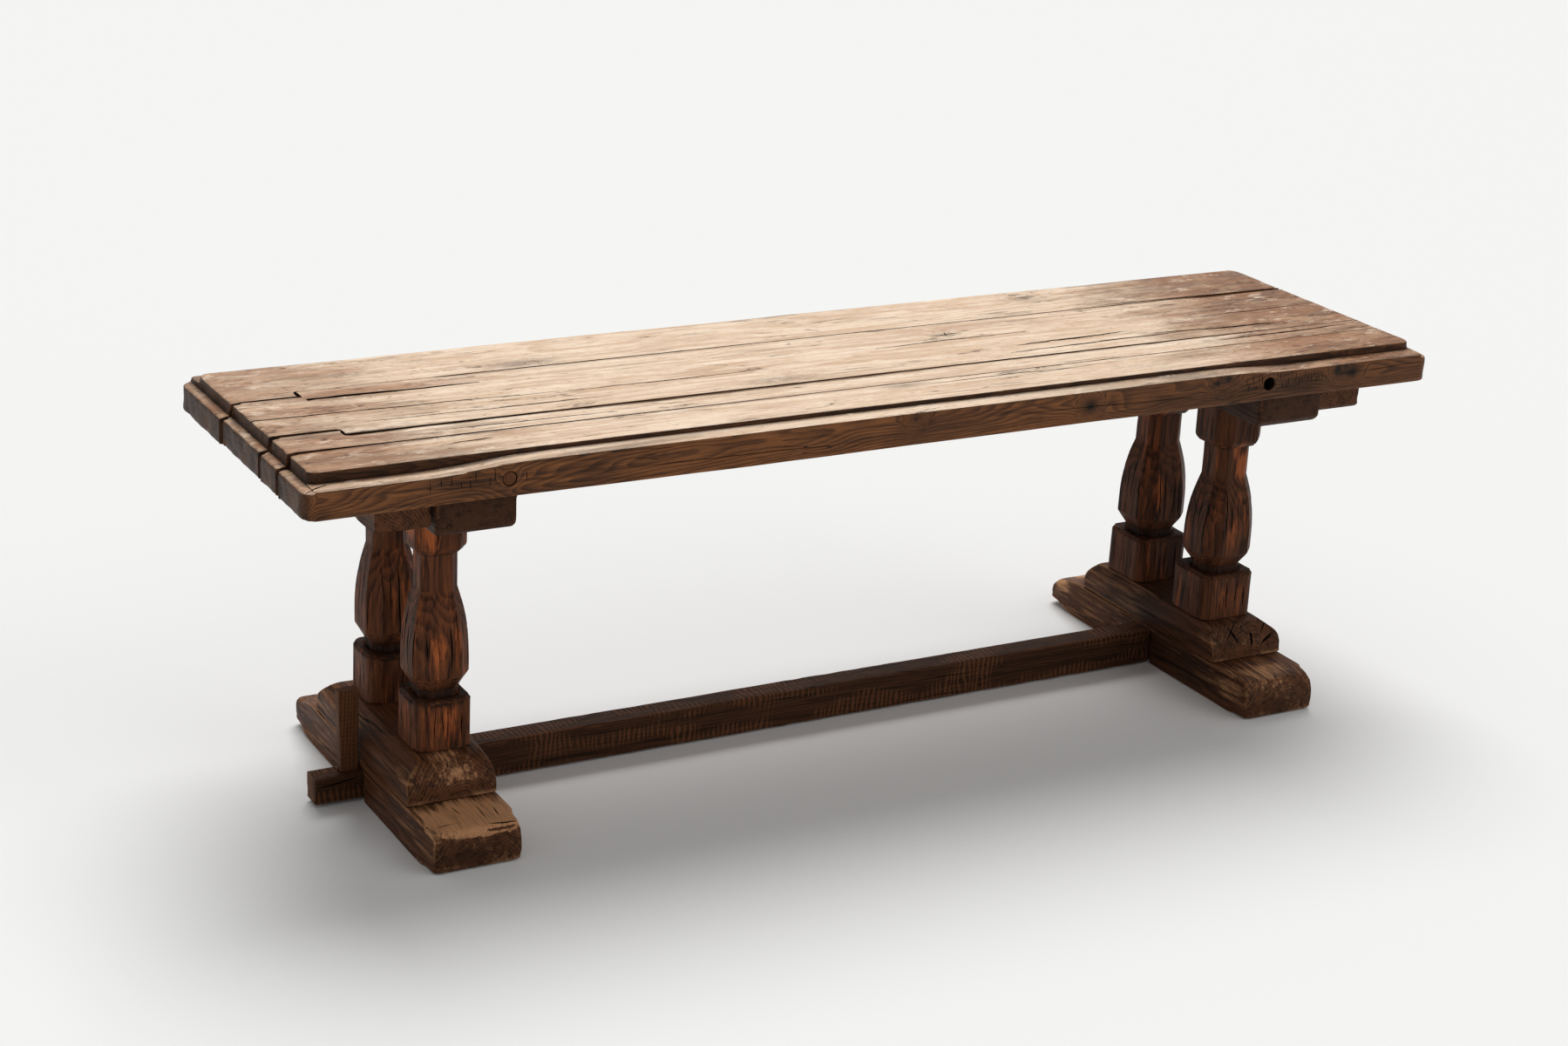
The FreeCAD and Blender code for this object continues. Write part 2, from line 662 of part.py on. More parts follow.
def wedge_outline(sign, low, height, play):
    """A wedge's side view from its low end up: flat against the foot, sloped on the outer side."""
    inner = f"({FOOT_X} + foot_width / 2)"
    slope = "(wedge_taper / wedge_length)"
    outer_low = f"{inner} + wedge_width - wedge_taper + {slope} * (({low}) - wedge_lift) + {play}"
    outer_high = f"{outer_low} + {slope} * ({height})"
    corners = [(f"{inner} - {play}", low), (outer_low, low), (outer_high, f"({low}) + {height}")]
    corners += [(f"{inner} - {play}", f"({low}) + {height}")]
    return [(f"{sign}({x})", z) for x, z in corners]


def make_wedge(name, sign):
    """A tusk wedge, standing in the slot of the stretcher's tenon against the foot."""
    body = new_body(name)
    sketch = new_sketch(body, "XZ_Plane")
    add_outline(sketch, wedge_outline(sign, "wedge_lift", "wedge_length", "0"))
    pad(body, sketch, "wedge_thickness", symmetric=True)


make_back_plank()
make_middle_plank()
make_narrow_plank()
make_front_plank()
make_dowel("left_cross_dowel", LEFT_DOWEL_X, "0")
make_dowel("right_cross_dowel", RIGHT_DOWEL_X, "dowel_setback")
for side_name, side_sign in (("left", "-"), ("right", "")):
    make_bearer(f"{side_name}_bearer", side_sign)
    make_cleat(f"{side_name}_cleat", side_sign)
    make_lower_foot(f"{side_name}_lower_foot", side_sign, f"{side_name}_nose_radius")
    make_upper_foot(f"{side_name}_upper_foot", side_sign)
    make_post(f"{side_name}_front_post", side_sign, "-", side_name)
    make_post(f"{side_name}_back_post", side_sign, "", side_name)
    make_wedge(f"{side_name}_wedge", side_sign)
make_nails()
make_stretcher()

doc.recompute()
for item in doc.Objects:
    if "Invalid" in item.State or "Error" in item.State:
        raise RuntimeError(f"{item.Label} failed: {item.State}")
for item in subparts:
    if item.Shape.isNull() or not item.Shape.isValid():
        raise RuntimeError(f"{item.Label} has no valid shape")

os.makedirs("parts", exist_ok=True)
for item in subparts:
    item.Shape.exportStep(f"parts/{item.Label}.step")
    box = item.Shape.BoundBox
    spans = [f"{low:8.1f} {high:8.1f}" for low, high in (
        (box.XMin, box.XMax), (box.YMin, box.YMax), (box.ZMin, box.ZMax))]
    count = len(item.Shape.Solids)
    print(f"{item.Label:20s} solids {count} volume {item.Shape.Volume:12.0f}  {'  '.join(spans)}")
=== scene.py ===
"""Looks of the worn oak refectory table: hewn timber, open joints, checks and wax, round the CAD frame."""

import math
import random
from collections import namedtuple

import bmesh
import bpy
from bpy.props import FloatProperty, FloatVectorProperty, PointerProperty
from mathutils import Matrix, Vector, kdtree, noise
from mathutils.bvhtree import BVHTree


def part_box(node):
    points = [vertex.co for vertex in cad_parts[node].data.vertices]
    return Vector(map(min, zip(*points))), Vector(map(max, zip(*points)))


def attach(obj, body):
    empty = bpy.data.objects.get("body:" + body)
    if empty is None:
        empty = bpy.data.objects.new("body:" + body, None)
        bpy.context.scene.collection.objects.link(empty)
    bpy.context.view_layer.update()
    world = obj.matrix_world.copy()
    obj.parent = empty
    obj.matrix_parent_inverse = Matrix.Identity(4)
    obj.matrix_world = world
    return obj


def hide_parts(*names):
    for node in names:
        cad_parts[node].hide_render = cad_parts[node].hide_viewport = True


bl_info = {
    "name": "Refectory table looks",
    "version": (1, 0, 0),
    "blender": (4, 5, 0),
    "location": "3D View > Sidebar > Refectory Table",
    "description": "Dresses the frame of a refectory table as worn, hewn oak",
    "category": "Object",
}

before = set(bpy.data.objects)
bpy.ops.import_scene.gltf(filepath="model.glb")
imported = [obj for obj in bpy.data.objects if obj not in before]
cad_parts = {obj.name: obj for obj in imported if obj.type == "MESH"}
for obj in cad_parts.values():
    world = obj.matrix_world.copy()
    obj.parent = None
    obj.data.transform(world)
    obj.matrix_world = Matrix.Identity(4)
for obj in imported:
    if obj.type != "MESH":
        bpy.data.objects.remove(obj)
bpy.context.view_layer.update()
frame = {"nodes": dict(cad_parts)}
SIDES = ("left", "right")
TOP_END, _, TOP_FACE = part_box("middle_plank")[1]
FRONT_LOW, FRONT_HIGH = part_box("front_plank")
BACK_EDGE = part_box("back_plank")[1].y
PLANK_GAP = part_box("narrow_plank")[0].y - FRONT_HIGH.y

MERGE_DISTANCE = 1e-5
# The largest share of the remesh grid that a piece fills
MOST_SCALE = 0.95
SHARP_ANGLE = math.radians(38)
# The way that one looks at a face from each side, and the two axes that one sees
VIEWS = {
    "above": (Vector((0, 0, -1)), 0, 1),
    "front": (Vector((0, 1, 0)), 0, 2),
    "back": (Vector((0, -1, 0)), 0, 2),
    "left": (Vector((1, 0, 0)), 1, 2),
    "right": (Vector((-1, 0, 0)), 1, 2),
}
# Spots and the cracks in tables are grouped by view; a spot has its centre, radii and strength.
# Places are in metres, on the two axes that one sees
Crack = namedtuple("Crack", "view start end width depth wander open_start", defaults=(False,))
Knot = namedtuple("Knot", "centre radius lift")


def colour(name, text, value):
    return FloatVectorProperty(name=name, description=text, subtype="COLOR", size=4, min=0, max=1,
                               default=(*value, 1.0))


def length(name, text, value):
    return FloatProperty(name=name, description=text, default=value, min=0, unit="LENGTH", precision=4)


def angle(name, text, degrees):
    return FloatProperty(name=name, description=text, default=math.radians(degrees), subtype="ANGLE")


def brightness(name, text, value):
    return FloatProperty(name=name, description=text, default=value)


class TimberSizes(bpy.types.PropertyGroup):
    """Mesh steps and wear of the timber"""
    plank_step: length("Plank step", "Spacing of the even mesh on the planks", 0.0052)
    post_step: length("Post step", "Spacing of the even mesh on the posts", 0.0032)
    rail_step: length("Rail step", "Spacing of the even mesh on bearers, cleats and stretcher", 0.0052)
    foot_step: length("Foot step", "Spacing of the even mesh on the feet", 0.0042)
    wedge_step: length("Wedge step", "Spacing of the even mesh on the wedges", 0.0018)
    dowel_step: length("Dowel step", "Spacing of the even mesh on the dowels", 0.0024)
    top_hollow: length("Top hollow", "Depth of the hollows worn into the top", 0.0024)
    hew_depth: length("Hew depth", "Depth of the adze marks on the posts", 0.0030)
    chip_depth: length("Chip depth", "Depth of the chips out of the arrises", 0.0030)
    foot_wear: length("Foot wear", "Depth of the wear on the feet", 0.0045)
    saw_spacing: length("Saw spacing", "Distance between the saw's ridges on the wedges", 0.0085)
    rail_spacing: length("Rail saw spacing", "Distance between the saw's ridges on the stretcher", 0.011)


class TimberColours(bpy.types.PropertyGroup):
    """Colours of the timber"""
    # Partly painted light: paler than the scrubbed wood itself, standing in for the wax's sheen and the light
    # on the top
    pale: colour("Pale", "Scrubbed wood of the upper face", (0.93, 0.755, 0.585))
    tan: colour("Tan", "Darker rings of the upper face", (0.64, 0.430, 0.275))
    brown: colour("Brown", "Streaks and aged ends of the upper face", (0.235, 0.118, 0.056))
    grey: colour("Grey", "Old stains on the upper face", (0.115, 0.076, 0.060))
    red: colour("Red", "Reddish strip and flushes on the upper face", (0.36, 0.155, 0.075))
    edge: colour("Edge", "Light wood of the planks' edges", (0.222, 0.083, 0.027))
    edge_dark: colour("Edge dark", "Dark wood of the planks' edges", (0.052, 0.021, 0.0095))
    frame: colour("Frame", "Light wood of the trestles", (0.148, 0.050, 0.0200))
    frame_dark: colour("Frame dark", "Dark wood of the trestles", (0.028, 0.0105, 0.0055))
    orange: colour("Orange", "Rubbed patches of the trestles", (0.42, 0.112, 0.033))
    foot: colour("Foot", "Light wood of the feet", (0.140, 0.054, 0.023))
    foot_dark: colour("Foot dark", "Dark wood of the feet", (0.032, 0.0135, 0.007))
    # Partly painted light: bare worn wood made paler to make up for the table's shade over the feet
    worn: colour("Worn", "Bare worn wood on the feet", (0.56, 0.285, 0.138))
    rail: colour("Rail", "Light wood of the stretcher", (0.067, 0.028, 0.0125))
    rail_dark: colour("Rail dark", "Dark wood of the stretcher", (0.022, 0.0098, 0.0053))
    # Near black: painted shadow inside cut cracks and bores; also the dark of grime, fine checks, stains and
    # painted shade
    crack: colour("Crack", "Inside of checks and cracks", (0.010, 0.006, 0.004))
    iron: colour("Iron", "Forged nails", (0.060, 0.052, 0.047))
    floor: colour("Floor", "Studio floor", (0.80, 0.80, 0.79))
    backdrop: colour("Backdrop", "What the camera sees beyond the floor", (0.90, 0.905, 0.895))


class StageSettings(bpy.types.PropertyGroup):
    """Camera and light"""
    camera_place: FloatVectorProperty(name="Camera place", description="Where the camera stands", size=3,
                                      subtype="TRANSLATION", unit="LENGTH", default=(-2.698, -4.594, 2.319))
    azimuth: angle("Azimuth", "Turn of the view from straight ahead", 29.50)
    elevation: angle("Elevation", "How far the camera looks down", 19.71)
    roll: angle("Roll", "Tilt of the picture", -2.87)
    lens: FloatProperty(name="Lens", description="Focal length for the sensor", unit="CAMERA", default=65.66)
    key_strength: brightness("Key strength", "Strength of the soft light from above", 2.4)
    key_spread: angle("Key spread", "Breadth of the soft light from above", 40)
    side_strength: brightness("Side strength", "Strength of the soft side light", 0.5)
    side_spread: angle("Side spread", "Breadth of the soft side light", 50)
    world_strength: brightness("World strength", "Strength of the light all round", 0.40)


# Shaping of timber

# Noise scales of hewn wood along and across the grain: broad hollows, adze marks, ridges and chips
HEWN_SCALES = ((3.5, 9), (13, 30), (8, 110), (22, 40))
# Depths of the same four on the plainer timbers
HEWN_DEPTHS = {
    "dowel": (0.0003, 0.0002, 0.0002, 0.0),
    "cleat": (0.0014, 0.0010, 0.0006, 0.003),
    "stretcher": (0.0018, 0.0012, 0.0005, 0.003),
}
# Bends above which an arris is worn round
WORN_BEND = 0.03


def bmesh_of(mesh):
    work = bmesh.new()
    work.from_mesh(mesh)
    return work


def new_piece(name, work):
    """An object at the origin from a bmesh, which is freed."""
    mesh = bpy.data.meshes.new(name)
    work.to_mesh(mesh)
    work.free()
    piece = bpy.data.objects.new(name, mesh)
    bpy.context.scene.collection.objects.link(piece)
    return piece


def remove_object(item):
    mesh = item.data
    bpy.data.objects.remove(item)
    bpy.data.meshes.remove(mesh)


def merged_copy(node):
    """A bmesh copy of a CAD node, with its loose triangles joined."""
    work = bmesh_of(frame["nodes"][node].data)
    bmesh.ops.remove_doubles(work, verts=work.verts, dist=MERGE_DISTANCE)
    return work


def evaluated_mesh(piece):
    """A new mesh with what the modifiers of a piece give."""
    graph = bpy.context.evaluated_depsgraph_get()
    return bpy.data.meshes.new_from_object(piece.evaluated_get(graph))


def remeshed(work, **settings):
    """A bmesh that is meshed anew by the remesh modifier."""
    piece = new_piece("meshed_anew", work)
    anew = piece.modifiers.new("Even mesh", "REMESH")
    for key, setting in settings.items():
        setattr(anew, key, setting)
    mesh = evaluated_mesh(piece)
    work = bmesh_of(mesh)
    bpy.data.meshes.remove(mesh)
    remove_object(piece)
    return work


def soft_copy(node, step):
    """A bmesh copy of a CAD node with an even mesh that can be worn round."""
    return remeshed(merged_copy(node), mode="VOXEL", voxel_size=step)


def from_axis(point, middle):
    """How far a point lies from an axis along Y."""
    return math.hypot(point.x - middle.x, point.z - middle.z)


def close_bores(work, bores):
    """Fill bores along Y, so that they can be cut round in the even mesh."""
    for middle, radius in bores:
        walls = [face for face in work.faces
                 if all(from_axis(vert.co, middle) < radius for vert in face.verts)]
        bmesh.ops.delete(work, geom=walls, context="FACES")
    bmesh.ops.holes_fill(work, edges=[edge for edge in work.edges if edge.is_boundary])


def crisp_copy(node, step, bores=()):
    """A bmesh copy of a CAD node with an even mesh that keeps its arrises crisp; some bores are filled."""
    low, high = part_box(node)
    cells = max(high - low) / step
    depth = math.ceil(math.log2(cells / MOST_SCALE))
    work = merged_copy(node)
    if bores:
        close_bores(work, bores)
    return remeshed(work, mode="SHARP", octree_depth=depth, scale=cells / 2 ** depth, sharpness=1.0,
                    use_remove_disconnected=False)


def soften(work, passes, verts):
    """Wear the arrises of an even mesh round."""
    for _ in range(passes):
        bmesh.ops.smooth_vert(work, verts=verts, factor=0.5, use_axis_x=True, use_axis_y=True,
                              use_axis_z=True)


def smooth_step(low, high, place):
    share = min(1.0, max(0.0, (place - low) / (high - low)))
    return share * share * (3 - 2 * share)


def wave(point, scale, seed):
    """Smooth noise from 0 to 1, with its own scale on each axis; the seed moves it for each piece."""
    return 0.5 + 0.5 * noise.noise(Vector((point.x * scale[0] + seed * 3.17, point.y * scale[1] - seed * 1.73,
                                           point.z * scale[2] + seed * 7.31)))


def along(grain, along_scale, across_scale):
    """Noise scales that stretch a pattern along the grain axis."""
    scale = [across_scale] * 3
    scale[grain] = along_scale
    return scale


def bend_at(vert):
    """How far a vertex stands out of its neighbours (positive) or lies in a hollow (negative)."""
    steps = [edge.other_vert(vert).co - vert.co for edge in vert.link_edges]
    rise = sum(step.dot(vert.normal) / max(step.length, MERGE_DISTANCE) for step in steps)
    return -rise / max(1, len(steps))


def wear_arrises(work, passes, near):
    """Round the arrises that lie near a place, and leave hollow corners crisp."""
    verts = [vert for vert in work.verts if near(vert.co)]
    for _ in range(passes):
        work.normal_update()
        soften(work, 1, [vert for vert in verts if bend_at(vert) > WORN_BEND])


def neighbours(work):
    """The numbers of the vertices next to each vertex."""
    work.verts.index_update()
    return [[edge.other_vert(vert).index for edge in vert.link_edges] for vert in work.verts]


def evened(values, near):
    """Values of vertices, each drawn halfway towards its neighbours'."""
    return [0.5 * value + 0.5 * sum(values[other] for other in others) / max(1, len(others))
            for value, others in zip(values, near)]


def push_in(work, depth):
    """Move every vertex inwards by a depth that is worked out from its place, normal and bend."""
    work.normal_update()
    depths = evened([depth(vert.co, vert.normal, bend_at(vert)) for vert in work.verts], neighbours(work))
    moves = [vert.normal * deep for vert, deep in zip(work.verts, depths)]
    for vert, move in zip(work.verts, moves):
        vert.co -= move


def hewn(grain, seed, broad, adze, fibre, chip):
    """A depth for push_in: broad hollows, adze marks, ridges along the grain and chipped arrises."""
    scales = [along(grain, *scale) for scale in HEWN_SCALES]

    def depth(point, normal, bend):
        hollows, marks, ridges, chips = (
            wave(point, scale, number) for number, scale in enumerate(scales, seed))
        sinking = broad * hollows + adze * marks + fibre * ridges
        sinking += smooth_step(0.10, 0.40, bend) * chip * (0.25 + smooth_step(0.52, 0.78, chips))
        return sinking * (1 - smooth_step(0.85, 0.97, abs(normal.z)))

    return depth


# Checks and cracks, cut as real grooves

# How far off the rays start that find the surface under a crack
RAY_START = 2.0
# The step along a crack, how far its wedge stands out of the surface, and a drop of the surface that ends it
CRACK_PITCH = 0.018
CRACK_LIFT = 0.003
CRACK_JUMP = 0.006
# How quickly a crack wanders and jitters along its run, the jitter's share, and how its ends narrow
WANDER_RATE = 9
JITTER_RATE = 41
JITTER_SHARE = 0.4
END_SHARE = 0.10
TAPER_POWER = 0.6
# The share of a piece's volume that must be left when its cracks are cut
LEAST_LEFT = 0.97


def crack_rows(tree, crack, rng):
    """The corners of a crack's wedge, place by place: its two lips and its floor."""
    toward, first, second = VIEWS[crack.view]
    third = 3 - first - second
    run = Vector(crack.end) - Vector(crack.start)
    side = Vector((-run.y, run.x)).normalized()
    across = Vector((0, 0, 0))
    across[first], across[second] = side
    count = max(6, round(run.length / CRACK_PITCH))
    phase = rng.uniform(0, 100)
    rows = []
    for number in range(count + 1):
        share = number / count
        drift = noise.noise(Vector((share * run.length * WANDER_RATE + phase, phase, 0)))
        drift += JITTER_SHARE * noise.noise(Vector((share * run.length * JITTER_RATE + phase, 0, phase)))
        origin = Vector((0, 0, 0))
        origin[first], origin[second] = Vector(crack.start) + run * share + side * (drift * crack.wander)
        origin[third] = -toward[third] * RAY_START
        hit = tree.ray_cast(origin, toward)[0]
        if hit is None or (rows and abs(hit[third] - last[third]) > CRACK_JUMP):
            break
        last = hit
        arch = 0.5 + 0.5 * share if crack.open_start else share
        taper = max(END_SHARE, math.sin(math.pi * arch) ** TAPER_POWER)
        deep = crack.depth * taper
        half = across * (crack.width * taper * rng.uniform(0.4, 0.6) * (deep + CRACK_LIFT) / deep)
        lip = hit - toward * CRACK_LIFT
        rows.append((lip - half, lip + half, hit + toward * deep))
    return rows


def add_wedge(work, order, rows):
    """Extrude a narrow triangle along the rows of a crack."""
    verts = [work.verts.new(corner) for corner in rows[0]]
    for number, vert in enumerate(verts):
        vert[order] = number
    end = work.faces.new(verts)
    face = end
    for corners in rows[1:]:
        made = bmesh.ops.extrude_face_region(work, geom=[face])["geom"]
        if face is not end:
            bmesh.ops.delete(work, geom=[face], context="FACES_ONLY")
        face = next(part for part in made if isinstance(part, bmesh.types.BMFace))
        for vert in face.verts:
            vert.co = corners[vert[order]]


def extents(rows):
    """The lowest and highest place of a wedge on each axis."""
    return [(min(places), max(places)) for places in zip(*(corner for row in rows for corner in row))]


def apart(first, second):
    """Whether two wedges can't touch."""
    return any(high < other_low or other_high < low
               for (low, high), (other_low, other_high) in zip(extents(first), extents(second)))


def crack_passes(cracks, tree, seed):
    """The wedges of a piece's cracks, in groups whose wedges don't touch one another."""
    rng = random.Random(seed)
    groups = []
    for crack in cracks:
        rows = crack_rows(tree, crack, rng)
        if len(rows) > 2:
            free = (group for group in groups if all(apart(rows, others) for others in group))
            group = next(free, None)
            if group is None:
                groups.append([rows])
            else:
                group.append(rows)
    return groups


def dark_tool(name, work):
    """An object to cut with, which leaves dark walls: painted shadow in the crack_shadow material."""
    tool = new_piece(name, work)
    tool.data.materials.append(bpy.data.materials["crack_shadow"])
    return tool


def crack_tool(group):
    """One object that holds some wedges."""
    work = bmesh.new()
    order = work.verts.layers.int.new("order")
    for rows in group:
        add_wedge(work, order, rows)
    if not all(edge.is_manifold for edge in work.edges):
        raise RuntimeError("a crack's wedge is not closed")
    bmesh.ops.recalc_face_normals(work, faces=work.faces)
    return dark_tool("crack_tool", work)


def volume(mesh):
    work = bmesh_of(mesh)
    found = work.calc_volume()
    work.free()
    return found


def cut_by(piece, tool, thorough):
    """The mesh that is left when a tool is cut out of a piece; the thorough way copes with folded meshes."""
    cut = piece.modifiers.new("Cracks", "BOOLEAN")
    cut.operation = "DIFFERENCE"
    cut.solver = "EXACT"
    cut.use_self = thorough
    cut.material_mode = "TRANSFER"
    cut.object = tool
    mesh = evaluated_mesh(piece)
    piece.modifiers.clear()
    return mesh


def cut_out(piece, tool):
    """Cut a tool out of a piece, the quick way where that works, and remove the tool."""
    whole = volume(piece.data)
    meshes = (cut_by(piece, tool, thorough) for thorough in (False, True))
    mesh = next((mesh for mesh in meshes if LEAST_LEFT < volume(mesh) / whole < 1), None)
    if mesh is None:
        raise RuntimeError(f"{tool.name} can't be cut out of {piece.name}")
    piece.data = mesh
    remove_object(tool)


def cut_cracks(piece, cracks, seed):
    """Cut all of a piece's cracks out of it."""
    tree = BVHTree.FromObject(piece, bpy.context.evaluated_depsgraph_get())
    for group in crack_passes(cracks, tree, seed):
        cut_out(piece, crack_tool(group))


def table_cracks(views):
    """The cracks of a table that is grouped by view."""
    return [Crack(view, *row) for view, rows in views.items() for row in rows]


def random_checks(view, box, count, longest, width, seed):
    """Checks along the first axis of a face, each in a band of its own across the other axis."""
    rng = random.Random(seed)
    _, first, second = VIEWS[view]
    low, high = box
    checks = []
    for number in range(count):
        run = longest * rng.uniform(0.3, 1.0)
        start = rng.uniform(low[first], high[first] - run)
        across = low[second] + (high[second] - low[second]) * (number + rng.uniform(0.25, 0.75)) / count
        slope = rng.uniform(-0.02, 0.02) * run
        end = (start + run, across + slope)
        checks.append(Crack(view, (start, across), end, width * rng.uniform(0.5, 1.2),
                            width * rng.uniform(3, 6), 0.02 * run))
    return checks


# What the materials read from each vertex: place in the log, worn edges, grime, stains and patches

# How straight a face must be seen for a spot to lie on it
SPOT_FACING = 0.3
NO_SPOTS = {}


def surface_bends(piece):
    """The places of a piece's vertices with their bends, evened out a little."""
    work = bmesh_of(piece.data)
    found = [bend_at(vert) for vert in work.verts]
    near = neighbours(work)
    for _ in range(2):
        found = evened(found, near)
    places = [vert.co.copy() for vert in work.verts]
    work.free()
    return places, found


def spot_strength(spots, point, normal):
    """The strongest of some soft oval spots at a point of a surface."""
    found = 0.0
    for view, rows in spots.items():
        toward, first, second = VIEWS[view]
        if normal.dot(toward) < -SPOT_FACING:
            for centre, radii, strength in rows:
                far = ((point[first] - centre[0]) / radii[0]) ** 2
                far += ((point[second] - centre[1]) / radii[1]) ** 2
                found = max(found, strength * math.exp(-far))
    return found


def no_shade(point, normal):
    return 0.0


def paint(piece, surface, log, stains, patches, shade):
    """Store on every vertex where it lay in the log, how worn, grimy and rubbed it is, and its stains
    together with painted shade.
    """
    places, found = surface
    near = kdtree.KDTree(len(places))
    for number, place in enumerate(places):
        near.insert(place, number)
    near.balance()
    mesh = piece.data
    values = {"wear": [], "grime": [], "stain": [], "patch": []}
    wood = []
    for vert in mesh.vertices:
        bend = found[near.find(vert.co)[1]]
        values["wear"].append(smooth_step(0.03, 0.18, bend))
        values["grime"].append(smooth_step(0.02, 0.14, -bend))
        # Real stains and the marks of a piece's shade function, painted shade on the top's risers, share one
        # value
        values["stain"].append(max(spot_strength(stains, vert.co, vert.normal), shade(vert.co, vert.normal)))
        values["patch"].append(spot_strength(patches, vert.co, vert.normal))
        wood.extend(log(vert.co))
    for name, numbers in values.items():
        mesh.attributes.new(name, "FLOAT", "POINT").data.foreach_set("value", numbers)
    mesh.attributes.new("wood", "FLOAT_VECTOR", "POINT").data.foreach_set("vector", wood)


def log_place(grain, pith, knots=(), lean=(0.0, 0.0)):
    """Where a point lay in its log: how far along the grain, and how far from the pith each way."""
    ways = list(zip((axis for axis in range(3) if axis != grain), pith, lean))

    def place(point):
        run = point[grain]
        bulge = sum(knot.lift * math.exp(-((point - Vector(knot.centre)).length / knot.radius) ** 2)
                    for knot in knots)
        return run, *(point[axis] - middle - slope * run + bulge for axis, middle, slope in ways)

    return place


def finish_piece(piece, node, body):
    """Smooth shading with crisp cracks, and the piece's place in the frame."""
    work = bmesh_of(piece.data)
    for face in work.faces:
        face.smooth = True
    for edge in work.edges:
        edge.smooth = len(edge.link_faces) == 2 and edge.calc_face_angle() < SHARP_ANGLE
    work.to_mesh(piece.data)
    work.free()
    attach(piece, body)
    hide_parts(node)


def dress(node, work, material, body, log, cracks=(), seed=0, tools=(), stains=NO_SPOTS,
          patches=NO_SPOTS, shade=no_shade):
    """Make a worn bmesh the piece of a node: kept in its box, cut, painted, and given its body."""
    low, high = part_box(node)
    for vert in work.verts:
        vert.co = [min(max(place, least), most) for place, least, most in zip(vert.co, low, high)]
    piece = new_piece(f"worn_{node}", work)
    piece.data.materials.append(bpy.data.materials[material])
    surface = surface_bends(piece)
    for tool in tools:
        cut_out(piece, tool)
    cut_cracks(piece, cracks, seed)
    paint(piece, surface, log, stains, patches, shade)
    finish_piece(piece, node, body)


# Materials

TIMBER_MASKS = ("Late Wood", "Fibre", "Pores", "Checks", "Blotch", "Streaks")
# Layers on the scrubbed face, from the bottom up: noise, share of the ends' browning, ramp and colour
SCRUBBED_LAYERS = {
    "broad": ((2.4, 9, 6.0, 0.65), 1.0, (0.46, 0.74, 0.0, 0.85), "brown"),
    "lines": ((2.2, 40, 5.0, 0.65), 0.5, (0.52, 0.70, 0.0, 0.65), "brown"),
    "flush": ((3.5, 15, 6.0, 0.65), 0.9, (0.50, 0.72, 0.0, 0.62), "red"),
    "cloud": ((5.0, 22, 7.0, 0.7), 0.35, (0.54, 0.74, 0.0, 0.65), "grey"),
    "mottle": ((9, 27, 8.0, 0.75), 0.0, (0.36, 0.56, 0.50, 0.0), "tan"),
    "scuffs": ((16, 34, 7.0, 0.75), 0.0, (0.54, 0.68, 0.0, 0.60), "pale"),
    "specks": ((45, 120, 4.0, 0.65), 0.25, (0.58, 0.68, 0.0, 0.60), "brown"),
}
# Each sawn finish: its light, dark and worn colours, and the spacing of its ridges; the worn colour also
# paints the ridges lighter, as painted light and shade
SAWN_FINISHES = {
    "sawn_oak": (("rail", "rail_dark", "foot"), "rail_spacing"),
    "wedge_oak": (("foot", "rail_dark", "brown"), "saw_spacing"),
}
# Each waxed finish: its light, dark, worn and rubbed colours, its rings' width and rubbed share
WAXED_FINISHES = {
    "hewn_oak": (("frame", "frame_dark", "rail", "orange"), 0.0055, 0.6),
    "rail_oak": (("rail", "rail_dark", "foot", "frame"), 0.0055, 0.15),
    # worn_oak's worn and rubbed colour is the paler worn colour, partly painted light
    "worn_oak": (("foot", "foot_dark", "worn", "worn"), 0.0065, 0.3),
    "peg_oak": (("foot", "edge_dark", "edge", "edge"), 0.003, 0.2),
    "dry_oak": (("foot", "foot_dark", "rail", "rail"), 0.006, 0.3),
}
SCRUBBED_RINGS = 0.0085
EDGE_RINGS = 0.0021
SAWN_RINGS = 0.006


def fill_inputs(tree, node, inputs):
    """Each input is a plain value or another node's output."""
    for key, source in inputs.items():
        if isinstance(source, Signal):
            tree.links.new(source.socket, node.inputs[key])
        else:
            node.inputs[key].default_value = source


class Node:
    """A shader node with its settings and inputs, whose outputs are read by name or number."""

    def __init__(self, tree, kind, inputs=None, **settings):
        self.tree = tree
        self.node = tree.nodes.new(kind)
        for key, setting in settings.items():
            setattr(self.node, key, setting)
        fill_inputs(tree, self.node, inputs or {})

    def __getitem__(self, key):
        return Signal(self.tree, self.node.outputs[key])


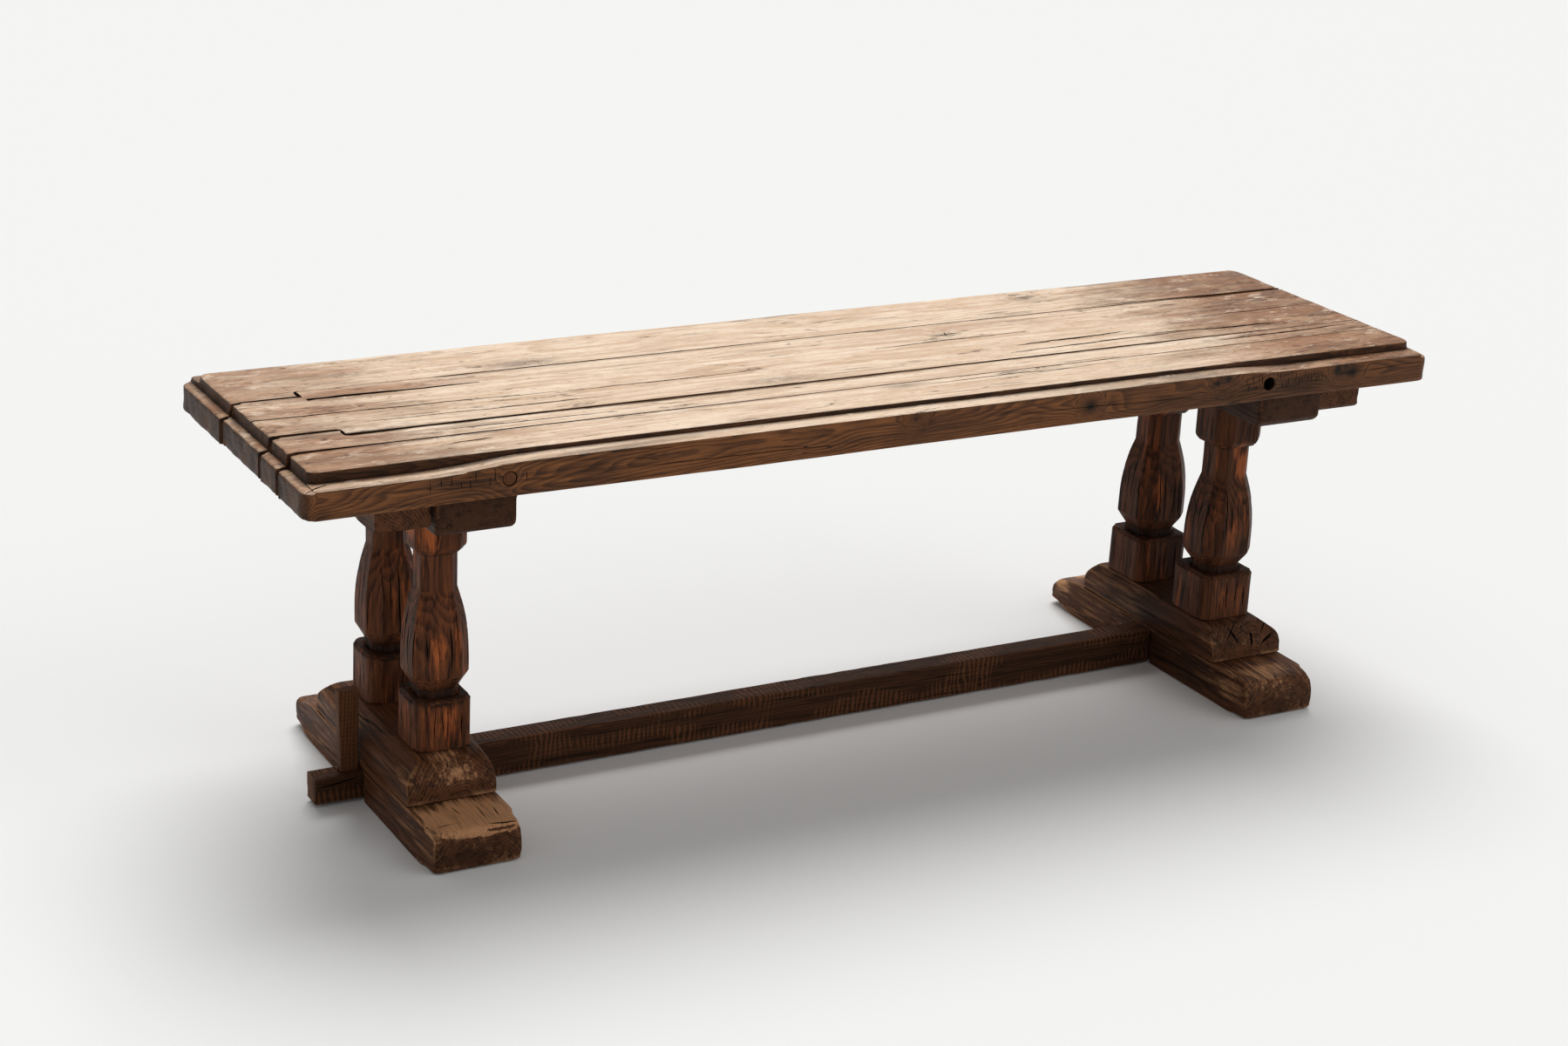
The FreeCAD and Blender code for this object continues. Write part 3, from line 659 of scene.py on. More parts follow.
class Signal:
    """A node's output, with which sums, products, ramps and mixtures can be written."""

    def __init__(self, tree, socket):
        self.tree = tree
        self.socket = socket

    def maths(self, operation, *others):
        return Node(self.tree, "ShaderNodeMath", dict(enumerate((self, *others))), operation=operation)[0]

    def __add__(self, other):
        return self.maths("ADD", other)

    def __sub__(self, other):
        return self.maths("SUBTRACT", other)

    def __mul__(self, other):
        return self.maths("MULTIPLY", other)

    def __truediv__(self, other):
        return self.maths("DIVIDE", other)

    def __abs__(self):
        return self.maths("ABSOLUTE")

    def ramp(self, low, high, start=0.0, end=1.0):
        """A smooth step from one range to another."""
        inputs = {"Value": self, "From Min": low, "From Max": high, "To Min": start, "To Max": end}
        return Node(self.tree, "ShaderNodeMapRange", inputs, interpolation_type="SMOOTHSTEP")[0]

    def mix(self, first, second):
        """Two colours, mixed by this mask."""
        return Node(self.tree, "ShaderNodeMix", {0: self, 6: first, 7: second}, data_type="RGBA",
                    clamp_factor=True)[2]

    def parts(self):
        return Node(self.tree, "ShaderNodeSeparateXYZ", {0: self})

    def grain(self, along_scale, across_scale, detail=2.0, roughness=0.5):
        """Noise at this place, stretched along the grain: a value and a colour."""
        scale = (along_scale, across_scale, across_scale)
        mapped = Node(self.tree, "ShaderNodeMapping", {"Vector": self, "Scale": scale})[0]
        inputs = {"Vector": mapped, "Scale": 1.0, "Detail": detail, "Roughness": roughness}
        return Node(self.tree, "ShaderNodeTexNoise", inputs)

    def noise(self, *settings):
        return self.grain(*settings)[0]


def new_group(name, inputs, outputs):
    """An empty shader node group with its sockets, and its input node."""
    tree = bpy.data.node_groups.new(name, "ShaderNodeTree")
    for direction, sockets in (("INPUT", inputs), ("OUTPUT", outputs)):
        for socket, kind in sockets.items():
            tree.interface.new_socket(socket, in_out=direction, socket_type=f"NodeSocket{kind}")
    return tree, Node(tree, "NodeGroupInput")


def timber_group():
    """Growth rings, fibres, pores, fine checks and blotches of solid oak."""
    tree, given = new_group("Oak timber", {"Wood": "Vector", "Ring Width": "Float"},
                            {name: "Float" for name in (*TIMBER_MASKS, "Height")})
    wood = given["Wood"]
    sway = Node(tree, "ShaderNodeVectorMath", {0: wood.grain(2.1, 9)[1], 1: (0.5, 0.5, 0.5)},
                operation="SUBTRACT")
    moved = Node(tree, "ShaderNodeVectorMath", {0: sway[0], 1: (0, 0.045, 0.045), 2: wood},
                 operation="MULTIPLY_ADD")
    parts = moved[0].parts()
    rings = (parts[1] * parts[1] + parts[2] * parts[2]).maths("SQRT") / given["Ring Width"]
    phase = (wood.noise(0.9, 14) * 2.2 + rings).maths("FRACT")
    late = phase.ramp(0.15, 0.90) * phase.ramp(0.90, 1.0, 1.0, 0.0)
    fibre = wood.noise(14, 420, 5.0, 0.62)
    pores = wood.noise(38, 1300).ramp(0.60, 0.70)
    contour = abs(wood.noise(1.7, 34, 3.0) - 0.5)
    checks = contour.ramp(0.0, 0.011, 1.0, 0.0) * wood.noise(4.5, 21).ramp(0.50, 0.64)
    blotch = wood.noise(3.2, 11, 5.0, 0.6)
    streaks = wood.noise(2.0, 75, 4.0, 0.6).ramp(0.46, 0.66)
    height = fibre * 0.45 + late * -0.12 + pores * -0.25 + checks * -0.8
    masks = dict(zip(TIMBER_MASKS, (late, fibre, pores, checks, blotch, streaks)))
    Node(tree, "NodeGroupOutput", {**masks, "Height": height})


def old_wood_group():
    """The colour of old wood: two tones by rings and fibres, then worn edges, grime, pores and checks."""
    inputs = {name: "Color" for name in ("Light", "Dark", "Worn", "Crack")}
    inputs.update({name: "Float" for name in (*TIMBER_MASKS, "Wear", "Grime", "Contrast")})
    tree, given = new_group("Old wood colour", inputs, {"Color": "Color"})
    tone = given["Late Wood"] * 0.40 + given["Blotch"] * 0.9
    tone = tone + given["Fibre"].ramp(0.35, 0.70) * 0.35 + given["Streaks"] * 0.45
    shade = ((tone - 0.45) * given["Contrast"]).mix(given["Light"], given["Dark"])
    worn = given["Wear"] * given["Blotch"].ramp(0.42, 0.62, 0.0, 0.85)
    worn = worn * given["Fibre"].ramp(0.30, 0.60, 0.35, 1.0)
    shade = worn.mix(shade, given["Worn"])
    for mask, strength, tint in (("Grime", 0.8, "Crack"), ("Pores", 0.4, "Dark"), ("Checks", 0.85, "Crack")):
        shade = (given[mask] * strength).mix(shade, given[tint])
    Node(tree, "NodeGroupOutput", {"Color": shade})


def flaking_group():
    """A soft patch turned into one with broken, flaky borders along the grain."""
    tree, given = new_group("Flaking", {"Wood": "Vector", "Patch": "Float"}, {"Mask": "Float"})
    uneven = (given["Wood"].noise(16, 110, 6.0, 0.7) - 0.5) * 1.7 + given["Patch"]
    Node(tree, "NodeGroupOutput", {"Mask": uneven.ramp(0.30, 0.78)})


def saw_group():
    """Ridges that a pit saw leaves across a timber, uneven in spacing and strength."""
    tree, given = new_group("Saw marks", {"Wood": "Vector", "Spacing": "Float"}, {"Ridge": "Float"})
    wood = given["Wood"]
    turns = wood.noise(30, 14) * 2.4 + wood.parts()[0] / given["Spacing"]
    ridge = turns.maths("PINGPONG", 0.5) * 2.0
    Node(tree, "NodeGroupOutput", {"Ridge": ridge * wood.noise(5, 18).ramp(0.36, 0.62)})


def use_group(tree, name, inputs):
    """A shared node group placed in a material."""
    return Node(tree, "ShaderNodeGroup", inputs, node_tree=bpy.data.node_groups[name])


def new_material(name, roughness, specular):
    """A material's tree and its shader."""
    material = bpy.data.materials.new(name)
    material.use_nodes = True
    shader = material.node_tree.nodes["Principled BSDF"]
    fill_inputs(material.node_tree, shader, {"Roughness": roughness, "Specular IOR Level": specular})
    return material.node_tree, shader


class Timber:
    """The timber group placed in a material, with the vertex data that its colour needs."""

    def __init__(self, tree, ring_width, crack):
        self.tree = tree
        self.crack = crack
        self.wood = Node(tree, "ShaderNodeAttribute", attribute_name="wood")["Vector"]
        self.noise = self.wood.noise
        self.masks = use_group(tree, "Oak timber", {"Wood": self.wood, "Ring Width": ring_width})

    def mark(self, name):
        """A value that is stored on the piece's vertices."""
        return Node(self.tree, "ShaderNodeAttribute", attribute_name=name)["Fac"]

    def shade(self, light, dark, worn, contrast):
        """The colour of old wood between two tones."""
        inputs = {name: self.masks[name] for name in TIMBER_MASKS}
        inputs.update({"Wear": self.mark("wear"), "Grime": self.mark("grime"), "Crack": self.crack})
        inputs.update({"Light": light, "Dark": dark, "Worn": worn, "Contrast": contrast})
        return use_group(self.tree, "Old wood colour", inputs)["Color"]

    def finish(self, shader, shade, glossy, dull, height, depth):
        """Colour, wax that is duller in the open fibres, and the relief of the grain."""
        bump = Node(self.tree, "ShaderNodeBump", {"Height": height, "Distance": depth, "Strength": 1.0})[0]
        wax = self.masks["Fibre"].ramp(0.25, 0.75, glossy, dull)
        fill_inputs(self.tree, shader, {"Base Color": shade, "Roughness": wax, "Normal": bump})


def scrubbed_face(timber, colours):
    """Pale wood, browner towards its ends, with streaks, flushes, stains, scuffs, specks and fissures; the
    pale middle is partly painted sheen and light.
    """
    run = timber.wood.parts()[0]
    # Browner towards the ends: partly the wood's own tone, partly painted light that leaves the middle of the
    # top brighter
    end = abs(run).ramp(0.45, 1.2, -0.18, 0.12) + run.ramp(0.25, 1.2, 0.0, 0.19)
    face = timber.shade(colours.pale, colours.tan, colours.pale, 1.0)
    marks = {"flush": timber.mark("patch") * 0.9, "cloud": fibre_stain_and_shade(timber)}
    for layer, (pattern, end_share, levels, tint) in SCRUBBED_LAYERS.items():
        mask = (timber.noise(*pattern) + end * end_share).ramp(*levels)
        if layer in marks:
            mask = mask.maths("MAXIMUM", marks[layer])
        face = mask.mix(face, getattr(colours, tint))
    valley = abs(timber.noise(3.4, 24, 5.0, 0.6) - 0.5).ramp(0.0, 0.022, 0.75, 0.0)
    broken = (timber.noise(7, 30, 3.0) + end * 0.3).ramp(0.52, 0.60)
    face = (valley * broken).mix(face, colours.edge_dark)
    return timber.mark("stain").ramp(0.76, 0.90, 0.0, 0.95).mix(face, colours.crack)


def fibre_stain_and_shade(timber):
    """Stains and painted shade, broken up by the fibres."""
    return timber.mark("stain") * timber.masks["Fibre"].ramp(0.2, 0.7, 0.55, 1.0)


def scrubbed_material(colours):
    """Upper faces scrubbed pale, partly painted sheen, and browner edges with fine rings and painted shade on
    the risers.
    """
    tree, shader = new_material("scrubbed_oak", 0.5, 0.12)
    timber = Timber(tree, SCRUBBED_RINGS, colours.crack)
    edges = Timber(tree, EDGE_RINGS, colours.crack)
    side = edges.shade(colours.edge, colours.edge_dark, colours.brown, 1.2)
    side = (edges.masks["Late Wood"] * 0.30).mix(side, colours.edge_dark)
    # Stains, and painted shade on the risers, darken the edges towards the crack colour
    side = fibre_stain_and_shade(timber).mix(side, colours.crack)
    upward = Node(tree, "ShaderNodeNewGeometry")["Normal"].parts()[2].ramp(0.35, 0.85)
    shade = upward.mix(side, scrubbed_face(timber, colours))
    timber.finish(shader, shade, 0.34, 0.58, timber.masks["Height"], 0.0012)


def waxed_material(name, colours, tones, ring_width, rubbed_share):
    """Dark waxed timber, rubbed bare in streaks and flaky patches."""
    tree, shader = new_material(name, 0.45, 0.07)
    light, dark, worn, bare = (getattr(colours, tone) for tone in tones)
    timber = Timber(tree, ring_width, colours.crack)
    shade = timber.shade(light, dark, worn, 1.15)
    strips = timber.noise(9.0, 95, 4.0, 0.6).ramp(0.50, 0.62)
    rubbed = timber.noise(5.0, 13, 3.0).ramp(0.44, 0.64) * strips * rubbed_share
    flakes = use_group(tree, "Flaking", {"Wood": timber.wood, "Patch": timber.mark("patch")})["Mask"]
    patch = flakes * timber.masks["Fibre"].ramp(0.25, 0.55, 0.30, 0.95)
    shade = patch.maths("MAXIMUM", rubbed).mix(shade, bare)
    shade = (timber.masks["Checks"] * 0.8).mix(shade, colours.crack)
    shade = timber.mark("stain").mix(shade, colours.crack)
    timber.finish(shader, shade, 0.34, 0.60, timber.masks["Height"], 0.0018)


def sawn_material(name, colours, tones, spacing):
    """Dark timber with the ridges of a saw across it, painted lighter on the ridges as painted light and
    shade.
    """
    tree, shader = new_material(name, 0.55, 0.06)
    light, dark, worn = (getattr(colours, tone) for tone in tones)
    timber = Timber(tree, SAWN_RINGS, colours.crack)
    ridge = use_group(tree, "Saw marks", {"Wood": timber.wood, "Spacing": spacing})["Ridge"]
    # Painted light and shade: the saw's ridges mixed towards the worn colour, lighter on the ridges and
    # darker in the valleys
    shade = ridge.ramp(0.25, 0.85, 0.0, 0.75).mix(timber.shade(light, dark, worn, 1.1), worn)
    timber.finish(shader, shade, 0.42, 0.66, ridge * 0.9 + timber.masks["Height"], 0.0014)


def dust(tree, scale):
    """Fine noise in the object's own space."""
    return Node(tree, "ShaderNodeTexCoord")["Object"].noise(scale, scale, 4.0)


# Painted shadow: the near-black walls of the cut cracks and the empty bore
def crack_material(colours):
    tree, shader = new_material("crack_shadow", 0.9, 0.1)
    dusty = dust(tree, 220).ramp(0.4, 0.8, 0.0, 0.35)
    fill_inputs(tree, shader, {"Base Color": dusty.mix(colours.crack, colours.frame_dark)})


def iron_material(colours):
    tree, shader = new_material("forged_iron", 0.6, 0.5)
    rust = dust(tree, 350).ramp(0.45, 0.65)
    bump = Node(tree, "ShaderNodeBump", {"Height": rust, "Distance": 0.0006})[0]
    shade = rust.mix(colours.iron, colours.frame)
    fill_inputs(tree, shader, {"Base Color": shade, "Metallic": 0.7, "Normal": bump})


class TABLE_OT_finishes(bpy.types.Operator):
    """Make the finishes of the wood and iron"""
    bl_idname = "table.finishes"
    bl_label = "Finishes"

    def execute(self, context):
        colours = context.scene.table_colours
        for make_group in (timber_group, old_wood_group, flaking_group, saw_group):
            make_group()
        for make_material in (crack_material, iron_material, scrubbed_material):
            make_material(colours)
        for name, (tones, ring_width, rubbed_share) in WAXED_FINISHES.items():
            waxed_material(name, colours, tones, ring_width, rubbed_share)
        for name, (tones, spacing) in SAWN_FINISHES.items():
            sawn_material(name, colours, tones, getattr(context.scene.table_sizes, spacing))
        return {"FINISHED"}


# Planks

# How far round a dowel its bore is cut, how far out the walls of the frame's bore lie at most,
# and where the planks' wear begins and is full, away from a dowel's axis
BORE_CLEARANCE = 0.0012
BORE_WALL = 0.003
BORE_CALM = (0.014, 0.030)
# How far in the worn rims of the top reach, and how far from its ends the upper tier's rim lies
RIM = 0.014
END_REACH = 0.04
# On Y: where the joints fade and end, and where the riser's painted shade and the upper tier's rim begin
JOINTS_FADE = (0.24, 0.28)
JOINTS_END = 0.26
RISER_RISE = (0.27, 0.29)
TIER_EDGE = 0.285
# How far below the top's face the ledge of the lower tier begins
LEDGE_DROP = 0.007
# Noise scales on X, Y and Z of a plank's hollows, dents and rough ends, and the depths of the last two
HOLLOW_SCALE = (3.1, 13.0, 6.0)
DENT_SCALE = (11.0, 42.0, 40.0)
END_SCALE = (10.0, 45.0, 45.0)
DENT_DEPTH = 0.0009
END_DEPTH = 0.0035
JOINT_WANDER = 0.0006
# How far each joint stands open along the table: places on X, and the gap there
JOINT_OPENINGS = {
    "back_joint": ((-1.20, 0.0070), (-1.06, 0.0070), (-1.04, 0.0006), (-0.80, 0.0006), (-0.76, 0.0046),
                   (0.20, 0.0030), (0.85, 0.0036), (1.00, 0.0085)),
    "narrow_joint": ((-1.20, 0.0120), (-1.06, 0.0100), (-0.40, 0.0085), (0.55, 0.0068), (0.80, 0.0050),
                     (1.10, 0.0020)),
    "front_joint": ((-1.20, 0.0120), (-1.12, 0.0095), (-0.98, 0.0040), (0.60, 0.0018), (1.10, 0.0012)),
}
# The joints in front of and behind a plank, how far its left end is set back, the pith of its log on Y and
# Z, how the pith leans along X, and its knots, stains, reddish patches and cracks
Plank = namedtuple("Plank", "front_joint back_joint setback pith lean knots stains patches cracks")
PLANKS = {
    "back_plank": Plank(
        "back_joint", None, 0.0, (0.26, 0.60), (0.010, 0.004),
        (Knot((0.595, 0.246, 0.76), 0.04, 0.02), Knot((-0.604, 0.164, 0.76), 0.05, 0.02)),
        {"above": (((0.595, 0.246), (0.045, 0.020), 0.80), ((-0.604, 0.164), (0.075, 0.022), 0.75),
                   ((0.90, 0.22), (0.16, 0.06), 0.35))},
        {},
        {"above": (((0.70, 0.145), (1.00, 0.139), 0.0050, 0.012, 0.004),
                   ((0.03, 0.19), (0.06, 0.165), 0.0022, 0.004, 0.003))}),
    "middle_plank": Plank(
        "narrow_joint", "back_joint", 0.004, (-0.01, 0.55), (-0.012, 0.006),
        (Knot((0.285, 0.061, 0.76), 0.03, 0.018), Knot((-0.169, -0.098, 0.76), 0.04, 0.02)),
        {"above": (((0.285, 0.061), (0.03, 0.012), 0.7), ((-0.169, -0.098), (0.07, 0.018), 0.75),
                   ((-1.17, 0.015), (0.035, 0.012), 0.7), ((0.98, 0.035), (0.13, 0.04), 0.40))},
        {"above": (((-0.89, 0.105), (0.17, 0.022), 0.85), ((0.35, 0.095), (0.22, 0.018), 0.45))},
        {"above": (((-1.046, 0.083), (-0.715, 0.078), 0.0110, 0.018, 0.003, True),
                   ((-1.178, -0.003), (-0.60, -0.024), 0.0042, 0.012, 0.004, True),
                   ((-0.58, -0.025), (-0.20, -0.030), 0.0030, 0.008, 0.004),
                   ((-1.00, -0.075), (-0.52, -0.080), 0.0028, 0.008, 0.004),
                   ((0.34, -0.095), (0.80, -0.078), 0.0046, 0.012, 0.004),
                   ((0.70, -0.072), (1.06, -0.094), 0.0065, 0.014, 0.004),
                   ((0.38, -0.052), (0.66, -0.040), 0.0060, 0.012, 0.010),
                   ((0.255, 0.055), (0.315, 0.068), 0.0036, 0.006, 0.004),
                   ((0.28, 0.050), (0.292, 0.078), 0.0026, 0.005, 0.002),
                   ((0.10, 0.022), (0.46, 0.030), 0.0028, 0.007, 0.005),
                   ((0.84, 0.00), (1.18, 0.01), 0.0036, 0.008, 0.006))}),
    "narrow_plank": Plank(
        "front_joint", "narrow_joint", 0.002, (-0.13, 0.62), (0.006, 0.0), (),
        {"above": (((1.10, -0.147), (0.12, 0.03), 0.35),)},
        {"above": (((0.0, -0.19), (0.4, 0.010), 0.40),)},
        {"above": (((0.80, -0.160), (1.14, -0.150), 0.0060, 0.012, 0.004),
                   ((-0.90, -0.165), (-0.55, -0.170), 0.0024, 0.006, 0.003))}),
    "front_plank": Plank(
        None, "front_joint", 0.001, (-0.215, 0.735), (0.004, 0.010),
        (Knot((0.368, -0.34, 0.717), 0.022, 0.020), Knot((0.681, -0.34, 0.735), 0.026, 0.022),
         Knot((0.985, -0.34, 0.727), 0.030, 0.022), Knot((-0.022, -0.34, 0.738), 0.020, 0.018)),
        {"above": (((0.026, -0.210), (0.045, 0.012), 0.7),),
         "front": (((0.368, 0.717), (0.022, 0.018), 0.85), ((0.681, 0.735), (0.035, 0.020), 0.7),
                   ((0.985, 0.727), (0.05, 0.024), 0.9), ((-0.022, 0.738), (0.018, 0.010), 0.75),
                   ((0.0, 0.72), (0.065, 0.04), 0.45), ((-1.17, 0.69), (0.02, 0.012), 0.7),
                   ((0.87, 0.708), (0.11, 0.03), 0.95), ((-0.90, 0.715), (0.09, 0.03), 0.4),
                   ((0.368, 0.717), (0.011, 0.011), 1.5), ((0.665, 0.732), (0.012, 0.008), 1.4),
                   ((0.692, 0.738), (0.010, 0.009), 1.4), ((0.965, 0.730), (0.011, 0.013), 1.4),
                   ((1.000, 0.722), (0.020, 0.012), 1.4), ((0.80, 0.700), (0.40, 0.045), 0.60))},
        {"above": (((-0.276, -0.244), (0.06, 0.010), 0.55),)},
        {"above": (((-0.895, -0.231), (-0.820, -0.229), 0.0050, 0.008, 0.006),
                   ((0.05, -0.215), (0.45, -0.222), 0.0030, 0.007, 0.004),
                   ((-1.15, -0.305), (-1.195, -0.328), 0.0045, 0.009, 0.004)),
         "front": (((-0.60, 0.712), (-0.18, 0.706), 0.0014, 0.006, 0.003),
                   ((0.20, 0.722), (0.62, 0.709), 0.0012, 0.006, 0.003),
                   ((0.95, 0.722), (1.19, 0.725), 0.0012, 0.006, 0.002))}),
}
# The saw's nicks on the front edge: two stretches on X with the number of nicks, where they begin and how
# long they are on Z, and their width, depth and wander
TICK_STRETCHES = ((-0.985, -0.795, 11), (0.735, 0.93, 26))
TICK_START = (0.702, 0.725)
TICK_LENGTH = (0.008, 0.026)
TICK_GROOVE = (0.0015, 0.0022, 0.0003)
TICK_SEED = 41


def opening(joint, x):
    """How wide a joint is at a place along the table."""
    stops = JOINT_OPENINGS[joint]
    for (low, start), (high, end) in zip(stops, stops[1:]):
        if x <= high:
            return start + (end - start) * smooth_step(low, high, x)
    return stops[-1][1]


def saw_ticks():
    """Short upright saw nicks on the front edge, beside the peg and the empty hole."""
    rng = random.Random(TICK_SEED)
    ticks = []
    for low, high, count in TICK_STRETCHES:
        for number in range(count):
            x = low + (high - low) * (number + rng.uniform(0.2, 0.8)) / count
            z = rng.uniform(*TICK_START)
            end = (x + rng.uniform(-0.001, 0.001), z + rng.uniform(*TICK_LENGTH))
            ticks.append(Crack("front", (x, z), end, *TICK_GROOVE))
    return ticks


def at_rim(place):
    """Whether a place lies at the worn outer edges of the top's two tiers."""
    upper = place.z > TOP_FACE - RIM and (abs(place.y) > TIER_EDGE or abs(place.x) > TOP_END - END_REACH)
    return upper or abs(place.y) > BACK_EDGE - RIM or abs(place.x) > TOP_END - RIM


def dowel_bore(side, clearance):
    """The middle of a dowel, and the radius of a bore that clears it."""
    low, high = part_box(f"{side}_cross_dowel")
    return (low + high) / 2, (high.z - low.z) / 2 + clearance


def worn_plank(node, sizes, seed):
    """A plank with worn outer arrises, wandering joints, hollows and rough ends."""
    plank = PLANKS[node]
    bores = [dowel_bore(side, BORE_WALL) for side in SIDES]
    work = crisp_copy(node, sizes.plank_step, bores if node == "front_plank" else ())
    wear_arrises(work, 5, at_rim)

    def in_joint(point, normal):
        return smooth_step(0.15, 0.70, abs(normal.y)) * (1 - smooth_step(*JOINTS_FADE, abs(point.y)))

    def depth(point, normal, bend):
        sinking = sizes.top_hollow * wave(point, HOLLOW_SCALE, seed)
        sinking += DENT_DEPTH * wave(point, DENT_SCALE, seed + 5)
        sinking += END_DEPTH * smooth_step(0.0, 1.0, abs(normal.x)) * wave(point, END_SCALE, seed + 9)
        near = min(from_axis(point, middle) for middle, _ in bores)
        return sinking * smooth_step(*BORE_CALM, near) * (1 - in_joint(point, normal))

    def joint_shift(vert):
        joint = plank.front_joint if vert.normal.y < 0 else plank.back_joint
        if joint is None:
            return 0.0
        shift = (opening(joint, vert.co.x) - PLANK_GAP) / 2
        shift += JOINT_WANDER * (wave(vert.co, (14.0, 3.0, 3.0), seed + 7) - 0.5)
        return math.copysign(shift * in_joint(vert.co, vert.normal), shift * -vert.normal.y)

    work.normal_update()
    shifts = [joint_shift(vert) for vert in work.verts]
    push_in(work, depth)
    for vert, shift in zip(work.verts, shifts):
        vert.co.y += shift
        vert.co.x += plank.setback * smooth_step(TOP_END - END_REACH, TOP_END, -vert.co.x)
    return work


def rebate_shade(point, normal):
    """Darker blotchy end faces and a darker ledge towards the ends, and painted shade on the risers of the
    upper tier.
    """
    if abs(point.x) > TOP_END - RIM:
        blotch = 0.48 + 0.37 * smooth_step(0.35, 0.65, wave(point, (6.0, 14.0, 9.0), 3))
        return blotch * smooth_step(0.3, 0.8, abs(normal.x))
    if normal.z > 0.6 and point.z < TOP_FACE - LEDGE_DROP:
        blotch = 0.7 * smooth_step(0.36, 0.62, wave(point, (5.0, 40.0, 9.0), 8))
        return blotch * smooth_step(0.1, 0.6, abs(point.x))
    if abs(normal.z) > 0.6 or abs(point.y) > BACK_EDGE - 0.012:
        return 0.0
    # Painted shade on the upper tier's risers, along the front and back and at the ends
    return 0.75 * max(smooth_step(0.4, 0.9, abs(normal.y)) * smooth_step(*RISER_RISE, abs(point.y)),
                      smooth_step(0.4, 0.9, abs(normal.x)))


def plank_shade(plank):
    """Grime in the open joints of a plank; elsewhere the marks of rebate_shade, with painted shade on the
    risers.
    """
    def shade(point, normal):
        joint = plank.front_joint if normal.y < 0 else plank.back_joint
        if joint is None or abs(point.y) > JOINTS_END or abs(normal.y) < 0.2:
            return rebate_shade(point, normal)
        grime = 0.9 * smooth_step(0.0008, 0.0040, opening(joint, point.x))
        return grime * smooth_step(0.2, 0.6, abs(normal.y))

    return shade


def bore_tool(side):
    """A cylinder that cuts a dowel's bore through the front plank."""
    middle, radius = dowel_bore(side, BORE_CLEARANCE)
    middle.y = (FRONT_LOW.y + FRONT_HIGH.y) / 2
    work = bmesh.new()
    bmesh.ops.create_cone(work, cap_ends=True, segments=40, radius1=radius, radius2=radius,
                          depth=2 * (FRONT_HIGH.y - FRONT_LOW.y),
                          matrix=Matrix.Translation(middle) @ Matrix.Rotation(math.radians(90), 4, "X"))
    return dark_tool("bore_tool", work)


class TABLE_OT_planks(bpy.types.Operator):
    """Wear the four planks of the top"""
    bl_idname = "table.planks"
    bl_label = "Planks"

    def execute(self, context):
        for seed, (node, plank) in enumerate(PLANKS.items(), 1):
            work = worn_plank(node, context.scene.table_sizes, seed)
            cracks = table_cracks(plank.cracks)
            tools = []
            if node == "front_plank":
                cracks += saw_ticks()
                tools = [bore_tool(side) for side in SIDES]
            log = log_place(0, plank.pith, plank.knots, plank.lean)
            dress(node, work, "scrubbed_oak", "top", log, cracks, seed, tools,
                  plank.stains, plank.patches, plank_shade(plank))
        return {"FINISHED"}


class TABLE_OT_dowels(bpy.types.Operator):
    """Wear the dowels that lock the planks together"""
    bl_idname = "table.dowels"
    bl_label = "Dowels"

    def execute(self, context):
        for seed, side in enumerate(SIDES, 60):
            node = f"{side}_cross_dowel"
            work = soft_copy(node, context.scene.table_sizes.dowel_step)
            push_in(work, hewn(1, seed, *HEWN_DEPTHS["dowel"]))
            middle, _ = dowel_bore(side, 0.0)
            log = log_place(1, (middle.x + 0.004, middle.z - 0.003))
            dress(node, work, "peg_oak", "top", log)
        return {"FINISHED"}


class TABLE_OT_cleats(bpy.types.Operator):
    """Wear the cleats under the top and finish their nails"""
    bl_idname = "table.cleats"
    bl_label = "Cleats and nails"

    def execute(self, context):
        for seed, side in enumerate(SIDES, 50):
            node = f"{side}_cleat"
            low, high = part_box(node)
            work = crisp_copy(node, context.scene.table_sizes.rail_step)
            push_in(work, hewn(1, seed, *HEWN_DEPTHS["cleat"]))
            cracks = random_checks(side, (low, high), count=4, longest=0.25, width=0.0016, seed=seed)
            log = log_place(1, (low.x - 0.02, low.z - 0.05))
            dress(node, work, "dry_oak", "top", log, cracks, seed)
        nails = new_piece("forged_cleat_nails", merged_copy("cleat_nails"))
        nails.data.materials.clear()
        nails.data.materials.append(bpy.data.materials["forged_iron"])
        finish_piece(nails, "cleat_nails", "top")
        return {"FINISHED"}


# Trestles

# How far below its top a bearer's arrises begin to be worn
BEARER_SEAT = 0.010
# Rubbed patches of each post
POSTS = {
    "left_front_post": {
        "front": (((-0.905, 0.575), (0.024, 0.045), 0.75), ((-0.895, 0.34), (0.025, 0.07), 0.55),
                  ((-0.85, 0.36), (0.012, 0.06), 0.5), ((-0.88, 0.20), (0.06, 0.06), 0.52)),
        "left": (((-0.118, 0.58), (0.03, 0.04), 0.8), ((-0.118, 0.20), (0.06, 0.06), 0.45))},
    "left_back_post": {
        "front": (((-0.88, 0.55), (0.03, 0.05), 0.8),),
        "left": (((0.118, 0.34), (0.04, 0.06), 0.5), ((0.118, 0.20), (0.06, 0.06), 0.45))},
    "right_front_post": {
        "front": (((0.895, 0.480), (0.022, 0.032), 1.0), ((0.875, 0.515), (0.012, 0.03), 0.8),
                  ((0.87, 0.335), (0.022, 0.05), 0.6), ((0.88, 0.20), (0.06, 0.06), 0.42))},
    "right_back_post": {
        "front": (((0.845, 0.545), (0.014, 0.03), 0.9), ((0.85, 0.35), (0.012, 0.05), 0.8))},
}
# Lowest and highest place of a post's checks above its tenon's end, their number on a side, and their width
POST_CHECKS = {
    "plinth": (0.115, 0.200, 4, 0.0026),
    "vase": (0.245, 0.400, 4, 0.0028),
    "capital": (0.490, 0.570, 2, 0.0022),
}
# The share of a post's width that has checks
CHECKED_SHARE = 0.62
